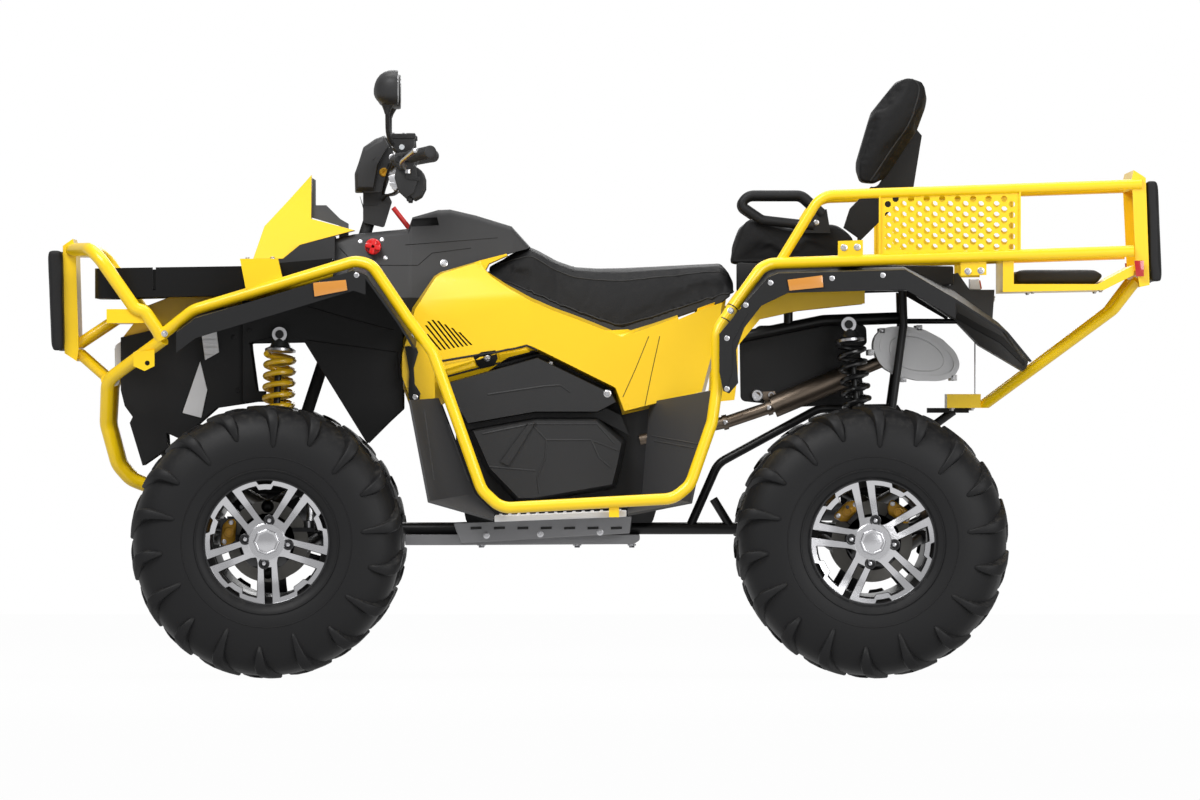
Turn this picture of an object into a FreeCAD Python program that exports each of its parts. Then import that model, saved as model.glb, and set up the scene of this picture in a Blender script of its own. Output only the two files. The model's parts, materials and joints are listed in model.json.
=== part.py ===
import FreeCAD, Part
import math
import os

# Quad bike with guard hoops and a rear load rack.
# X runs rearward, Y to the vehicle's right, Z up from the ground. Lengths are in millimetres.

V = FreeCAD.Vector

# Driving dimensions
wheelbase = 1460.0
tyre_diameter = 660.0
rim_diameter = 305.0
front_tyre_width = 229.0
rear_tyre_width = 254.0
overall_width = 1180.0
rail_y = 112.0
rack_half_width = 430.0
front_rack_half_width = 370.0
bumper_half_width = 400.0
fender_inset = 38.0
guard_inset = 50.0

# Side view scale, from the two axle centres
front_axle_px = (267.3, 541.7)
rear_axle_px = (872.3, 541.7)
pad_faces_px = (45.0, 1162.5)
mm_per_px = wheelbase / (rear_axle_px[0] - front_axle_px[0])
middle_px = sum(pad_faces_px) / 2
tyre_radius = tyre_diameter / 2
rim_radius = rim_diameter / 2

# Small values used all over
gap = 0.3
gap_px = gap / mm_per_px
overrun = 20.0
reach = 3000.0
panel_wall = 6.0
steel_wall = 4.0

# Tube sizes and their bends
guard_tube = 14.0
bumper_tube = 16.0
rack_tube = 12.0
frame_tube = 14.0
strut_tube = 10.0
cross_tube = 11.0
arm_tube = 14.0
tube_bend = 60.0

# Half widths that follow from the overall width
fender_half_width = overall_width / 2 - fender_inset
guard_half_width = overall_width / 2 - guard_inset


def x_at(px):
    return (px - middle_px) * mm_per_px


def z_at(py):
    return tyre_radius + (front_axle_px[1] - py) * mm_per_px


def at(point_px, y):
    return V(x_at(point_px[0]), y, z_at(point_px[1]))


def unit(vector):
    return vector / vector.Length


def polygon_face(points):
    return Part.Face(Part.makePolygon(points + [points[0]]))


def corner_arc(before, here, after, radius):
    """Start, middle and end of the arc that rounds one corner as far as its sides allow."""
    d_in = unit(here - before)
    d_out = unit(after - here)
    turn = d_in.getAngle(d_out)
    if turn < 0.02 or radius <= 0:
        return here, None, here
    room = min((here - before).Length, (after - here).Length) * 0.45
    t = min(radius * math.tan(turn / 2), room)
    r = t / math.tan(turn / 2)
    middle = here + unit(d_out - d_in) * (r / math.cos(turn / 2) - r)
    return here - d_in * t, middle, here + d_out * t


def rounded_wire(points, radius):
    """Closed wire through the points with its corners rounded, by one radius or one for each."""
    edges = []
    count = len(points)
    radii = radius if isinstance(radius, list) else [radius] * count
    arcs = [corner_arc(points[i - 1], points[i], points[(i + 1) % count], radii[i]) for i in range(count)]
    for i in range(count):
        start, middle, end = arcs[i]
        if middle is not None:
            edges.append(Part.Arc(start, middle, end).toShape())
        edges.append(Part.LineSegment(end, arcs[(i + 1) % count][0]).toShape())
    return Part.Wire(edges)


def plate(outline_px, y_from, y_to, corner=0.0):
    """Flat piece with a side view outline, between two planes across the vehicle."""
    points = [at(p, y_from) for p in outline_px]
    return Part.Face(rounded_wire(points, corner)).extrude(V(0, y_to - y_from, 0))


def slab(outline_px, half_width, corner=0.0):
    """Flat piece with a side view outline that spans the vehicle's middle."""
    return plate(outline_px, -half_width, half_width, corner)


def domed_plate(outline_px, y_in, y_out, inset, corner=0.0):
    """Flat piece whose outer face is smaller than its inner face by an inset on every side."""
    inner = rounded_wire([at(p, y_in) for p in outline_px], corner)
    outer = Part.Face(inner).makeOffset2D(-inset).OuterWire.copy()
    outer.translate(V(0, y_out - y_in, 0))
    return Part.makeLoft([inner, outer], True, True)


def box(x0, x1, y0, y1, z0, z1):
    return Part.makeBox(x1 - x0, y1 - y0, z1 - z0, V(x0, y0, z0))


def rod(start, end, radius):
    return Part.makeCylinder(radius, (end - start).Length, start, unit(end - start))


def cross_rod(point_px, half_width, radius):
    return rod(at(point_px, -half_width), at(point_px, half_width), radius)


def tube(points, radius, bend):
    """Round tube along straight runs joined by tangent arcs."""
    edges = []
    start = points[0]
    for i in range(1, len(points) - 1):
        arc_start, middle, arc_end = corner_arc(points[i - 1], points[i], points[i + 1], bend)
        edges.append(Part.LineSegment(start, arc_start).toShape())
        if middle is not None:
            edges.append(Part.Arc(arc_start, middle, arc_end).toShape())
        start = arc_end
    edges.append(Part.LineSegment(start, points[-1]).toShape())
    circle = Part.Wire(Part.makeCircle(radius, points[0], points[1] - points[0]))
    return Part.Wire(edges).makePipe(Part.Face(circle))


def side_tube(line_px, y, radius):
    """Tube that stays in one plane along the vehicle."""
    return tube([at(p, y) for p in line_px], radius, tube_bend)


def joined(shapes):
    result = shapes[0]
    for shape in shapes[1:]:
        result = result.fuse(shape)
    return result.removeSplitter()


def main_solid(shape):
    """The largest piece that is left after a trim."""
    return max(shape.Solids, key=lambda solid: solid.Volume)


def mirrored(shape):
    return shape.mirror(V(0, 0, 0), V(0, 1, 0))


def both_sides(shapes):
    return shapes + [mirrored(s) for s in shapes]


def strip_section(points, wall):
    """Closed section of a bent sheet: the line of points and the same line one wall further in."""
    inner = []
    for i, here in enumerate(points):
        before = points[max(i - 1, 0)]
        after = points[min(i + 1, len(points) - 1)]
        run = unit(after - before)
        inner.append(here + V(run.z, 0, -run.x) * wall)
    return Part.makePolygon(points + inner[::-1] + [points[0]])


def bent_sheet(outer_px, inner_px, y_out, y_in, wall):
    """Sheet whose outer edge follows one side view line and whose inner edge follows another."""
    outer = strip_section([at(p, y_out) for p in outer_px], wall)
    inner = strip_section([at(p, y_in) for p in inner_px], wall)
    return Part.makeLoft([inner, outer], True, True)


def body_loft(stations, top_corner, bottom_corner):
    """Loft through sections given as side view x, top, bottom and the two half widths."""
    wires = []
    for px, top, bottom, half_top, half_bottom in stations:
        x, z_top, z_bottom = x_at(px), z_at(top), z_at(bottom)
        points = [
            V(x, -half_bottom, z_bottom), V(x, half_bottom, z_bottom),
            V(x, half_top, z_top), V(x, -half_top, z_top),
        ]
        wires.append(rounded_wire(points, [bottom_corner, bottom_corner, top_corner, top_corner]))
    return Part.makeLoft(wires, True, True)


# Tyres
lug_pairs = 18
lug_height = 22.0
lug_width = 22.0
lug_slant_degrees = 26.0
lug_centre_gap = 8.0
lug_short_share = 0.27
lug_crown_share = 0.74
lug_base_share = 0.6
long_foot_share = 0.695
short_foot_share = 0.77
bulge_height_share = 0.36
crown_width_share = 0.62
tyre_bead_inset = 25.0

# Rims, hubs and discs
rim_barrel_wall = 6.0
rim_face_depth = 22.0
rim_face_set_in = 12.0
rim_lip = 5.0
spoke_count = 5
spoke_prong_width = 19.0
spoke_prong_offset = 20.0
spoke_foot_share = 0.6
spoke_web_depth = 8.0
front_spoke_angle = 270.0
rear_spoke_angle = 261.0
hub_radius = 44.0
hub_plate_radius = 66.0
hub_cap_radius = 32.0
hub_cap_taper_share = 0.8
hub_cap_height = 16.0
wheel_nut_count = 4
wheel_nut_radius = 9.0
wheel_nut_height = 12.0
wheel_nut_circle = 53.0
wheel_nut_degrees = 7.0
disc_radius = 98.0
disc_wall = 5.0
spindle_radius = 24.7

# Places of the axles and of what they carry
kingpin_offset = 75.5
rear_hub_offset = 103.0
disc_offset = 40.0
front_wheel_y = overall_width / 2 - front_tyre_width / 2
rear_wheel_y = overall_width / 2 - rear_tyre_width / 2
kingpin_y = front_wheel_y - kingpin_offset
rear_hub_y = rear_wheel_y - rear_hub_offset
front_disc_y = kingpin_y + disc_offset
rear_disc_y = rear_hub_y + disc_offset * 2
axle_z = tyre_radius
front_axle_x = x_at(front_axle_px[0])
rear_axle_x = x_at(rear_axle_px[0])


def revolved(points):
    """Solid of revolution about the Y axis from points of width and radius."""
    face = polygon_face([V(radius, width, 0) for width, radius in points])
    return face.revolve(V(0, 0, 0), V(0, 1, 0), 360)


def faceted_ring(profile, count):
    """Ring about the Y axis with flat facets, from a closed profile of width and radius."""
    faces = []
    step = 2 * math.pi / count
    rows = []
    for i in range(count):
        turn = step * (i + 0.5)
        rows.append([V(r * math.cos(turn), w, r * math.sin(turn)) for w, r in profile])
    for i in range(count):
        here, after = rows[i], rows[(i + 1) % count]
        for j in range(len(profile)):
            k = (j + 1) % len(profile)
            faces.append(polygon_face([here[j], here[k], after[k], after[j]]))
    return Part.Solid(Part.makeShell(faces))


def lug_spread(inner, half):
    """How far round the tyre the inner corner of a lug lies from the lug's middle."""
    slant = math.radians(lug_slant_degrees)
    middle = (inner + half) / 2
    return (middle - inner - lug_height / 4) * math.sin(slant) + lug_width / 2 * math.cos(slant)


def lug_block(side, inner, half, foot):
    """One lug: from near the centre line, flat on top, then down over the shoulder."""
    spread = lug_spread(inner, half)
    top = math.sqrt(tyre_radius ** 2 - spread ** 2)
    base = tyre_radius - lug_height * 2
    outline = [
        (inner, base), (inner + lug_height / 4, top), (half * lug_crown_share, top),
        (half - lug_height / 3, foot + lug_height), (half - lug_height / 3, foot), (half * lug_base_share, base),
    ]
    middle = (inner + half) / 2
    points = [V(-lug_width / 2, side * w, r) for w, r in outline]
    block = polygon_face(points).extrude(V(lug_width, 0, 0))
    block.rotate(V(0, side * middle, 0), V(0, 0, 1), side * lug_slant_degrees)
    return block


def tyre_shape(width):
    """Tyre with its axle on Y, its outer side towards -Y."""
    half = width / 2
    section = tyre_radius - rim_radius
    bulge_radius = rim_radius + section * bulge_height_share
    crown_radius = tyre_radius - lug_height
    quarter = [
        (half - tyre_bead_inset, rim_radius), (half, bulge_radius),
        (half * crown_width_share, crown_radius),
    ]
    profile = quarter + [(-w, r) for w, r in quarter[::-1]]
    carcass = faceted_ring(profile, lug_pairs * 2)
    bore = Part.makeCylinder(rim_radius, width * 2, V(0, -width, 0), V(0, 1, 0))
    carcass = carcass.cut(bore)
    lugs = []
    step = 360 / lug_pairs
    for side in (1, -1):
        for i in range(lug_pairs):
            long_lug = i % 2 == 0
            inner = lug_centre_gap if long_lug else half * lug_short_share
            foot = tyre_radius * (long_foot_share if long_lug else short_foot_share)
            lug = lug_block(side, inner, half, foot)
            lug.rotate(V(0, 0, 0), V(0, 1, 0), step * (i + (0.5 if side > 0 else 0)))
            lugs.append(lug)
    tyre = carcass.multiFuse(lugs).removeSplitter()
    spread = lug_spread(lug_centre_gap, half)
    tyre.rotate(V(0, 0, 0), V(0, 1, 0), 180 + math.degrees(math.asin(spread / tyre_radius)))
    return tyre


def spoke_prong(start_angle, side, inner, face_y):
    """One prong of a forked spoke, thinner than the rim's face is deep."""
    centre = side * spoke_prong_offset
    prong = box(hub_radius * spoke_foot_share, inner, face_y, face_y + rim_face_depth,
                centre - spoke_prong_width / 2, centre + spoke_prong_width / 2)
    prong.rotate(V(0, 0, 0), V(0, 1, 0), start_angle)
    return prong


def rim_shape(width, start_angle, disc_y):
    """Rim with its axle on Y and its face towards -Y: barrel, forked spokes, hub, disc and spindle."""
    half = width / 2 - tyre_bead_inset + rim_barrel_wall
    outer = rim_radius - gap
    inner = outer - rim_barrel_wall
    face_y = -half + rim_face_set_in
    barrel = revolved([
        (-half - gap, inner - rim_lip), (-half - gap, outer), (half, outer), (half, inner),
        (face_y + rim_face_depth * 1.5, inner), (face_y + rim_face_depth, inner - rim_lip),
    ])
    plate_back = Part.makeCylinder(hub_plate_radius, rim_face_depth - spoke_web_depth,
                                   V(0, face_y + spoke_web_depth, 0), V(0, 1, 0))
    crown = Part.makeCylinder(hub_radius, rim_face_depth, V(0, face_y, 0), V(0, 1, 0))
    cap = Part.makeCone(hub_cap_radius, hub_cap_radius * hub_cap_taper_share, hub_cap_height,
                        V(0, face_y, 0), V(0, -1, 0))
    hub = Part.makeCylinder(hub_radius, disc_y - face_y, V(0, face_y, 0), V(0, 1, 0))
    disc = Part.makeCylinder(disc_radius, disc_wall, V(0, disc_y - disc_wall, 0), V(0, 1, 0))
    spindle = Part.makeCylinder(spindle_radius, spindle_length, V(0, disc_y, 0), V(0, 1, 0))
    pieces = [barrel, plate_back, crown, cap, hub, disc, spindle]
    for i in range(spoke_count):
        angle = start_angle + i * 360 / spoke_count
        pieces += [spoke_prong(angle, side, inner, face_y) for side in (-1, 1)]
    for i in range(wheel_nut_count):
        nut = Part.makeCylinder(wheel_nut_radius, wheel_nut_height, V(wheel_nut_circle, face_y + spoke_web_depth, 0),
                                V(0, -1, 0))
        nut.rotate(V(0, 0, 0), V(0, 1, 0), wheel_nut_degrees + i * 360 / wheel_nut_count)
        pieces.append(nut)
    return joined(pieces)


def wheel_shapes(width, centre_y, axle_px, side, start_angle, disc_y):
    """Tyre and rim at their place, the rim's face outward on its own side."""
    result = []
    for shape in (tyre_shape(width), rim_shape(width, start_angle, centre_y - disc_y)):
        shape.translate(V(x_at(axle_px[0]), -centre_y, axle_z))
        result.append(shape if side < 0 else mirrored(shape))
    return result


# Knuckles, rear hubs and steering links
lower_ball_z = 255.0
upper_ball_z = 415.0
ball_radius = 17.0
bearing_radius = 50.0
bearing_depth = 20.0
cup_radius = 34.0
seat_depth = 16.0
running_gap = 6.0
disc_clearance = 10.0
seat_radius = spindle_radius + gap
spindle_length = disc_clearance + seat_depth - gap
steer_arm_length = 100.0
steer_arm_thickness = 10.0
tie_rod_radius = 8.0
tie_rod_inner_y = 16.0
tie_rod_inner_z = 445.0
tie_rod_outer_z = 372.0
pitman_z = 500.0
pitman_thickness = 12.0
pitman_length = 77.0
tie_pin_radius = 7.0
tie_eye_radius = 14.0
tie_eye_height = 16.0
caliper_length = 64.0
caliper_depth = 46.0
caliper_lift = 24.0


def upright_shape(axle_x, y, disc_y):
    """Left upright: bearing housing with a cup for the shaft's joint and a seat for the spindle."""
    y_in = -y + bearing_depth
    y_out = -disc_y + disc_clearance
    housing = Part.makeCylinder(bearing_radius, y_in - y_out, V(axle_x, y_in, axle_z), V(0, -1, 0))
    low = lower_ball_z + ball_radius + running_gap
    high = upper_ball_z - ball_radius - gap
    post = Part.makeCylinder(ball_radius, high - low, V(axle_x, -y, low), V(0, 0, 1))
    cup = Part.makeCylinder(cup_radius, y_in - y_out - seat_depth + overrun,
                            V(axle_x, y_in + overrun, axle_z), V(0, -1, 0))
    seat = Part.makeCylinder(seat_radius, y_in - y_out + overrun * 2,
                             V(axle_x, y_in + overrun, axle_z), V(0, -1, 0))
    return joined([housing, post]), cup.fuse(seat)


def knuckle_shape():
    """Left front knuckle: upright with its steering arm and brake caliper."""
    x, y = front_axle_x, -kingpin_y
    upright, bores = upright_shape(x, kingpin_y, front_disc_y)
    arm_z = tie_rod_outer_z - tie_eye_height / 2 - gap - steer_arm_thickness
    arm = box(x, x + steer_arm_length + tie_eye_radius, y - tie_eye_radius, y + tie_eye_radius,
              arm_z, arm_z + steer_arm_thickness)
    pin = Part.makeCylinder(tie_pin_radius, steer_arm_thickness + tie_eye_height,
                            V(x + steer_arm_length, y, arm_z), V(0, 0, 1))
    inner_face = -front_disc_y + running_gap
    outer_face = -front_disc_y - disc_wall - running_gap
    caliper_z = axle_z + caliper_lift
    caliper = box(x - disc_radius - caliper_depth / 3, x - disc_radius + caliper_depth / 2,
                  outer_face - caliper_depth / 4, inner_face + caliper_depth / 4,
                  caliper_z - caliper_length / 2, caliper_z + caliper_length / 2)
    slot = box(x - disc_radius - running_gap, x, outer_face, inner_face,
               caliper_z - caliper_length, caliper_z + caliper_length)
    carrier = box(x - disc_radius - caliper_depth / 3, x, inner_face, y + bearing_depth,
                  axle_z - ball_radius, axle_z + ball_radius)
    solid = joined([upright, arm, carrier, caliper.cut(slot)])
    return joined([solid.cut(bores), pin])


def rear_hub_shape():
    upright, bores = upright_shape(rear_axle_x, rear_hub_y, rear_disc_y)
    return upright.cut(bores)


def tie_rod_shape():
    """Left tie rod from its eye on the knuckle's arm to its inner end by the steering column."""
    x = front_axle_x + steer_arm_length
    outer = V(x, -kingpin_y, tie_rod_outer_z)
    inner = V(x, -tie_rod_inner_y, tie_rod_inner_z)
    bar = rod(outer, inner, tie_rod_radius)
    eye = Part.makeCylinder(tie_eye_radius, tie_eye_height, outer - V(0, 0, tie_eye_height / 2), V(0, 0, 1))
    ball = Part.makeSphere(tie_eye_radius, inner)
    hole = Part.makeCylinder(tie_pin_radius + gap / 6, tie_eye_height + overrun * 2,
                             outer - V(0, 0, tie_eye_height / 2 + overrun), V(0, 0, 1))
    return joined([bar, eye, ball]).cut(hole)


# Steering column, handlebar and mirrors
column_top_px = (387.0, 158.0)
column_rake_degrees = 18.0
column_radius = 15.0
column_boot_radius = 36.0
column_guide_px = (332.1, 327.0)
bar_radius = 11.0
grip_radius = 16.0
grip_length = 125.0
grip_end = 4.0
bar_half_width = 400.0
bar_bend = 60.0
clamp_half_width = 44.0
pod_half_width = 88.0
pod_foot_half_width = 35.0
shroud_half_width = 34.0
switch_width = 70.0
reservoir_width = 55.0
reservoir_inset = 5.0
mirror_inset = 70.0
mirror_foot_y = 225.0
mirror_stem_radius = 5.0
mirror_stem_bend = 40.0
mirror_head_width = 150.0
lever_radius = 6.0
lever_reach = 150.0
lever_offset = 40.0

bar_end_px = (430.0, 151.6)
bar_knee_px = (404.0, 157.0)
bar_clamp_px = (388.0, 166.0)
pod_px = [(383, 133), (372, 136), (361, 145), (356, 161), (352, 172), (353, 191), (378, 191), (392, 150)]
pod_foot_px = [(356, 189), (378, 189), (376, 204), (361, 204)]
shroud_px = [(357, 192), (361, 207), (361, 221), (382, 226), (390, 200), (386, 192)]
mirror_px = [(372.7, 90.5), (377, 76), (389, 69), (397.8, 69.5), (397.8, 104.5), (384, 105.3), (375, 99)]
mirror_stem_px = [(396, 147), (386.5, 138), (386.5, 96)]
switch_px = [(396, 152), (412, 153), (423, 176), (421, 190), (408, 201), (398, 196), (393, 178)]
reservoir_px = [(390, 132), (414, 132), (415, 144), (408, 154), (398, 154), (392, 144)]
lever_px = [(409, 168), (398, 163), (415, 150)]


def column_axis():
    rake = math.radians(column_rake_degrees)
    return V(math.sin(rake), 0, math.cos(rake))


def column_point(z):
    """Point on the steering axis at a height."""
    top = at(column_top_px, 0)
    return top - column_axis() * ((top.z - z) / column_axis().z)


def column_rod(radius):
    return rod(column_point(pitman_z), at(column_top_px, 0) + column_axis() * overrun, radius)


def steering_column():
    foot = column_point(pitman_z)
    axis = column_axis()
    column = rod(foot, at(column_top_px, 0), column_radius)
    end = foot + V(axis.z, 0, -axis.x) * pitman_length
    across = V(0, tie_eye_radius, 0)
    outline = [foot - across * 1.4, end - across * 1.6, end + across * 1.6, foot + across * 1.4]
    arm = polygon_face(outline).extrude(axis * pitman_thickness)
    return joined([column, arm])


def handlebar_shape():
    """Handlebar tube with its two grips, brake levers, switch blocks and fluid reservoirs."""
    knee_y = bar_half_width - grip_length * 1.15
    left = [at(bar_end_px, -bar_half_width), at(bar_knee_px, -knee_y), at(bar_clamp_px, -clamp_half_width)]
    right = [V(p.x, -p.y, p.z) for p in left[::-1]]
    along = unit(left[1] - left[0])
    grip = rod(left[0] - along * grip_end, left[0] + along * grip_length, grip_radius)
    inner = -bar_half_width + grip_length + grip_radius
    switch = plate(switch_px, inner, inner + switch_width, panel_wall)
    tank = plate(reservoir_px, inner + reservoir_inset, inner + reservoir_inset + reservoir_width, panel_wall)
    lever_y = [inner + switch_width / 2, inner - lever_offset, inner - lever_reach]
    lever = tube([at(p, y) for p, y in zip(lever_px, lever_y)], lever_radius, bar_bend)
    controls = both_sides([grip, switch, tank, lever])
    return joined([tube(left + right, bar_radius, bar_bend)] + controls)


def mirror_shape(side):
    mirror_y = bar_half_width - mirror_inset
    ys = [mirror_foot_y, (mirror_foot_y + mirror_y) / 2, mirror_y]
    stem = tube([at(p, side * y) for p, y in zip(mirror_stem_px, ys)], mirror_stem_radius, mirror_stem_bend)
    inner = side * (mirror_y - mirror_head_width / 2)
    outer = side * (mirror_y + mirror_head_width / 2)
    return joined([stem, plate(mirror_px, inner, outer, overrun / 2)])


def steering_nodes():
    bar = handlebar_shape()
    column = steering_column()
    pod = joined([slab(pod_px, pod_half_width, panel_wall * 2), slab(pod_foot_px, pod_foot_half_width)])
    pod = pod.cut(Part.makeCompound([bar, column]))
    shroud = slab(shroud_px, shroud_half_width, panel_wall).cut(column_rod(column_radius + gap))
    return {
        "steering_column": [column, shroud.cut(pod)],
        "handlebar": [bar.cut(column)],
        "instrument_pod": [pod],
        "mirrors": [mirror_shape(side).cut(bar) for side in (-1, 1)],
    }


# Suspension and drive
diff_z = 425.0
diff_radius = 58.0
diff_half_width = 80.0
diff_nose_radius = 22.0
diff_nose_drop = 25.0
diff_nose_length = 70.0
diff_foot_thickness = 24.0
arm_spread = 120.0
arm_pivot_radius = arm_tube * 1.2
arm_inner_y = rail_y + frame_tube + arm_pivot_radius + gap
lower_inner_z = 338.0
upper_inner_z = 480.0
shaft_radius = 13.0
shaft_joint_radius = 26.0
shaft_boot_length = 60.0
shaft_boot_start = 50.0
shock_radius = 37.0
shock_valley_radius = 28.0
shock_rod_radius = 12.0
shock_turns = 5
shock_foot_share = 0.45
shock_top_share = 0.3
shock_foot_offset = 12.0
shock_foot_clear = 45.0
shock_top_clear = 70.0
shock_eye_radius = 18.0
shock_eye_length = 30.0
shock_pin_radius = 10.0
front_shock_top_px = (278.0, 334.0)
rear_shock_top_px = (850.0, 324.0)


def shock_y(outer_y, share):
    return arm_inner_y + (outer_y - arm_inner_y) * share


def shock_foot_z():
    return upper_inner_z + (upper_ball_z - upper_inner_z) * shock_foot_share


def suspension_arm(axle_x, ball_z, inner_z, outer_y, carries_shock):
    """One arm: ball at its outer end, two legs and the bar that pivots along the frame."""
    ball = V(axle_x, -outer_y, ball_z)
    pieces = [Part.makeSphere(ball_radius, ball)]
    for side in (-1, 1):
        inner = V(axle_x + side * arm_spread, -arm_inner_y, inner_z)
        pieces.append(rod(ball, inner, arm_tube))
    end = arm_spread + arm_tube
    pieces.append(rod(V(axle_x - end, -arm_inner_y, inner_z), V(axle_x + end, -arm_inner_y, inner_z),
                      arm_pivot_radius))
    if carries_shock:
        half = arm_spread * (1 - shock_foot_share)
        y = -shock_y(outer_y, shock_foot_share)
        pieces.append(rod(V(axle_x - half, y, shock_foot_z()), V(axle_x + half, y, shock_foot_z()),
                          shock_pin_radius))
    return joined(pieces)


def arm_set(axle_x, outer_y):
    lower = suspension_arm(axle_x, lower_ball_z, lower_inner_z, outer_y, False)
    upper = suspension_arm(axle_x, upper_ball_z, upper_inner_z, outer_y, True)
    return both_sides([lower, upper])


def half_shaft(axle_x, end_y):
    """Drive shaft from the differential to the joint in the upright's cup, with its two boots."""
    inner = V(axle_x, -diff_half_width - gap, diff_z)
    outer = V(axle_x, -end_y, axle_z)
    slope = unit(outer - inner)
    shaft = rod(inner - slope * overrun, outer, shaft_radius)
    boot_in = rod(inner - slope * overrun, inner + slope * shaft_boot_length, shaft_joint_radius)
    boot_start = outer - slope * shaft_boot_start
    boot_out = Part.makeCone(shaft_joint_radius, shaft_radius, shaft_boot_length, boot_start, slope * -1)
    ball = Part.makeSphere(shaft_joint_radius, outer)
    shaft = joined([shaft, boot_in, boot_out, ball])
    keep = box(axle_x - reach, axle_x + reach, -end_y, -diff_half_width - gap, 0, reach)
    return shaft.common(keep)


def differential(axle_x, nose_side):
    """Drive casing with its shaft nose and the foot that it stands on between the rails."""
    body = Part.makeCylinder(diff_radius, 2 * diff_half_width, V(axle_x, -diff_half_width, diff_z), V(0, 1, 0))
    nose_z = diff_z - diff_nose_drop
    nose = rod(V(axle_x, 0, nose_z), V(axle_x + nose_side * (diff_radius + diff_nose_length), 0, nose_z),
               diff_nose_radius)
    foot_half = rail_y - frame_tube - gap
    foot_z = lower_rail_z
    foot = box(axle_x - diff_radius, axle_x + diff_radius, -foot_half, foot_half,
               foot_z, foot_z + diff_foot_thickness)
    return joined([body, nose, foot])


def shock(axle_x, offset, outer_y, top_px):
    """Left spring and damper between the upper arm's cross pin and the beam above it."""
    foot = V(axle_x + offset, -shock_y(outer_y, shock_foot_share), shock_foot_z())
    top = at(top_px, -shock_y(outer_y, shock_top_share))
    along = unit(top - foot)
    length = (top - foot).Length
    start, end = shock_foot_clear, length - shock_top_clear
    pitch = (end - start) / shock_turns
    outline = [V(0, 0, start)]
    for i in range(shock_turns):
        z = start + pitch * i
        outline += [V(shock_valley_radius, 0, z), V(shock_radius, 0, z + pitch / 3),
                    V(shock_radius, 0, z + pitch * 2 / 3)]
    outline += [V(shock_valley_radius, 0, end), V(0, 0, end)]
    coil = polygon_face(outline).revolve(V(0, 0, 0), V(0, 0, 1), 360)
    coil.Placement = FreeCAD.Placement(foot, FreeCAD.Rotation(V(0, 0, 1), along)).multiply(coil.Placement)
    shaft = rod(foot, top, shock_rod_radius)
    half = shock_eye_length / 2
    eye_low = Part.makeCylinder(shock_eye_radius, shock_eye_length, foot - V(half, 0, 0), V(1, 0, 0))
    eye_top = Part.makeCylinder(shock_eye_radius, shock_eye_length, top - V(0, half, 0), V(0, 1, 0))
    pin_low = Part.makeCylinder(shock_pin_radius + gap, reach, foot - V(reach / 2, 0, 0), V(1, 0, 0))
    pin_top = Part.makeCylinder(shock_pin_radius + gap, reach, top - V(0, reach / 2, 0), V(0, 1, 0))
    return joined([coil, shaft, eye_low, eye_top]).cut(pin_low.fuse(pin_top))


# Frame
post_y = 215.0
axle_plate_wall = 8.0
axle_plate_half = 70.0
axle_plate_reach = 18.0
shaft_hole_radius = 34.0
beam_end = 24.0
guide_length = 36.0
guide_wall = 9.0
hanger_half_width = 20.0
engine_half_width = 150.0
air_box_half_width = 94.0
air_box_corner = 14.0
tail_stay_y = 90.0
tail_stay_radius = 6.0
skid_half_width = 170.0
rocker_width = 75.0

lower_rail_py = 529.5
lower_rail_px = [(150, 430), (206, 526), (300, lower_rail_py), (930, lower_rail_py), (938, 470), (895, 408)]
upper_rail_px = [(152, 424), (166, 350), (205, 331), (330, 326), (420, 345), (700, 345), (825, 320), (908, 317)]
diagonal_px = [(690, lower_rail_py), (719, 464), (820, 409), (894, 408)]
post_px = [(893.5, 408), (905, 324), (904, 291)]
cross_px = [(215, 526.5), (640, lower_rail_py), (745, lower_rail_py), (700, 345), (917, 440), (155, 428)]
wide_cross_px = [(894, 408), (905, 317)]
fascia_cross_px = (190, 338.4)
rack_post_px = [(215, 331), (215, 290)]
console_post_px = [(400, 341), (400, 300)]
seat_post_px = [(700, 345), (700, 300)]
deck_post_px = [(790, 327), (790, 284)]
hanger_px = [(901, 318), (909, 316), (911, 330), (903, 330)]
brace_px = [(714.5, 500), (731, 527)]
tail_stay_px = [(905, 320.5), (962, 320.5)]
engine_px = [(455, 370), (650, 360), (660, 500), (652, 526), (466, 526), (455, 470)]
air_box_px = [(741, 342), (760, 325), (868, 324), (869, 343), (862, 348), (866, 404), (800, 407), (742, 401)]
skid_px = [(404, 532), (640, 532), (640, 541), (634, 545), (460, 546), (404, 546)]
rocker_px = [(453, 524), (632, 517), (630, 534), (460, 544)]
lower_rail_z = z_at(lower_rail_py)


def axle_plate(axle_x, side):
    """Plate on the outer side of the rails that carries the arms' pivots, open for the shaft."""
    outer = rail_y + frame_tube
    y_from, y_to = sorted([side * outer, side * (outer - axle_plate_wall)])
    sheet = box(axle_x - axle_plate_half, axle_x + axle_plate_half, y_from, y_to,
                lower_inner_z - axle_plate_reach, upper_inner_z + axle_plate_reach)
    share = (outer - diff_half_width) / (kingpin_y - diff_half_width)
    hole_z = diff_z + (axle_z - diff_z) * share
    hole = Part.makeCylinder(shaft_hole_radius, reach, V(axle_x, -reach / 2, hole_z), V(0, 1, 0))
    return sheet.cut(hole)


def guide_shape():
    """Ring that holds the steering column, on a bar between the upper rails."""
    centre = at(column_guide_px, 0)
    axis = column_axis()
    start = column_point(centre.z) - axis * guide_length / 2
    ring = rod(start, start + axis * guide_length, column_radius + gap + guide_wall)
    bar = rod(V(centre.x, -rail_y, centre.z), V(centre.x, rail_y, centre.z), strut_tube)
    return joined([ring, bar]).cut(column_rod(column_radius + gap))


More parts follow.
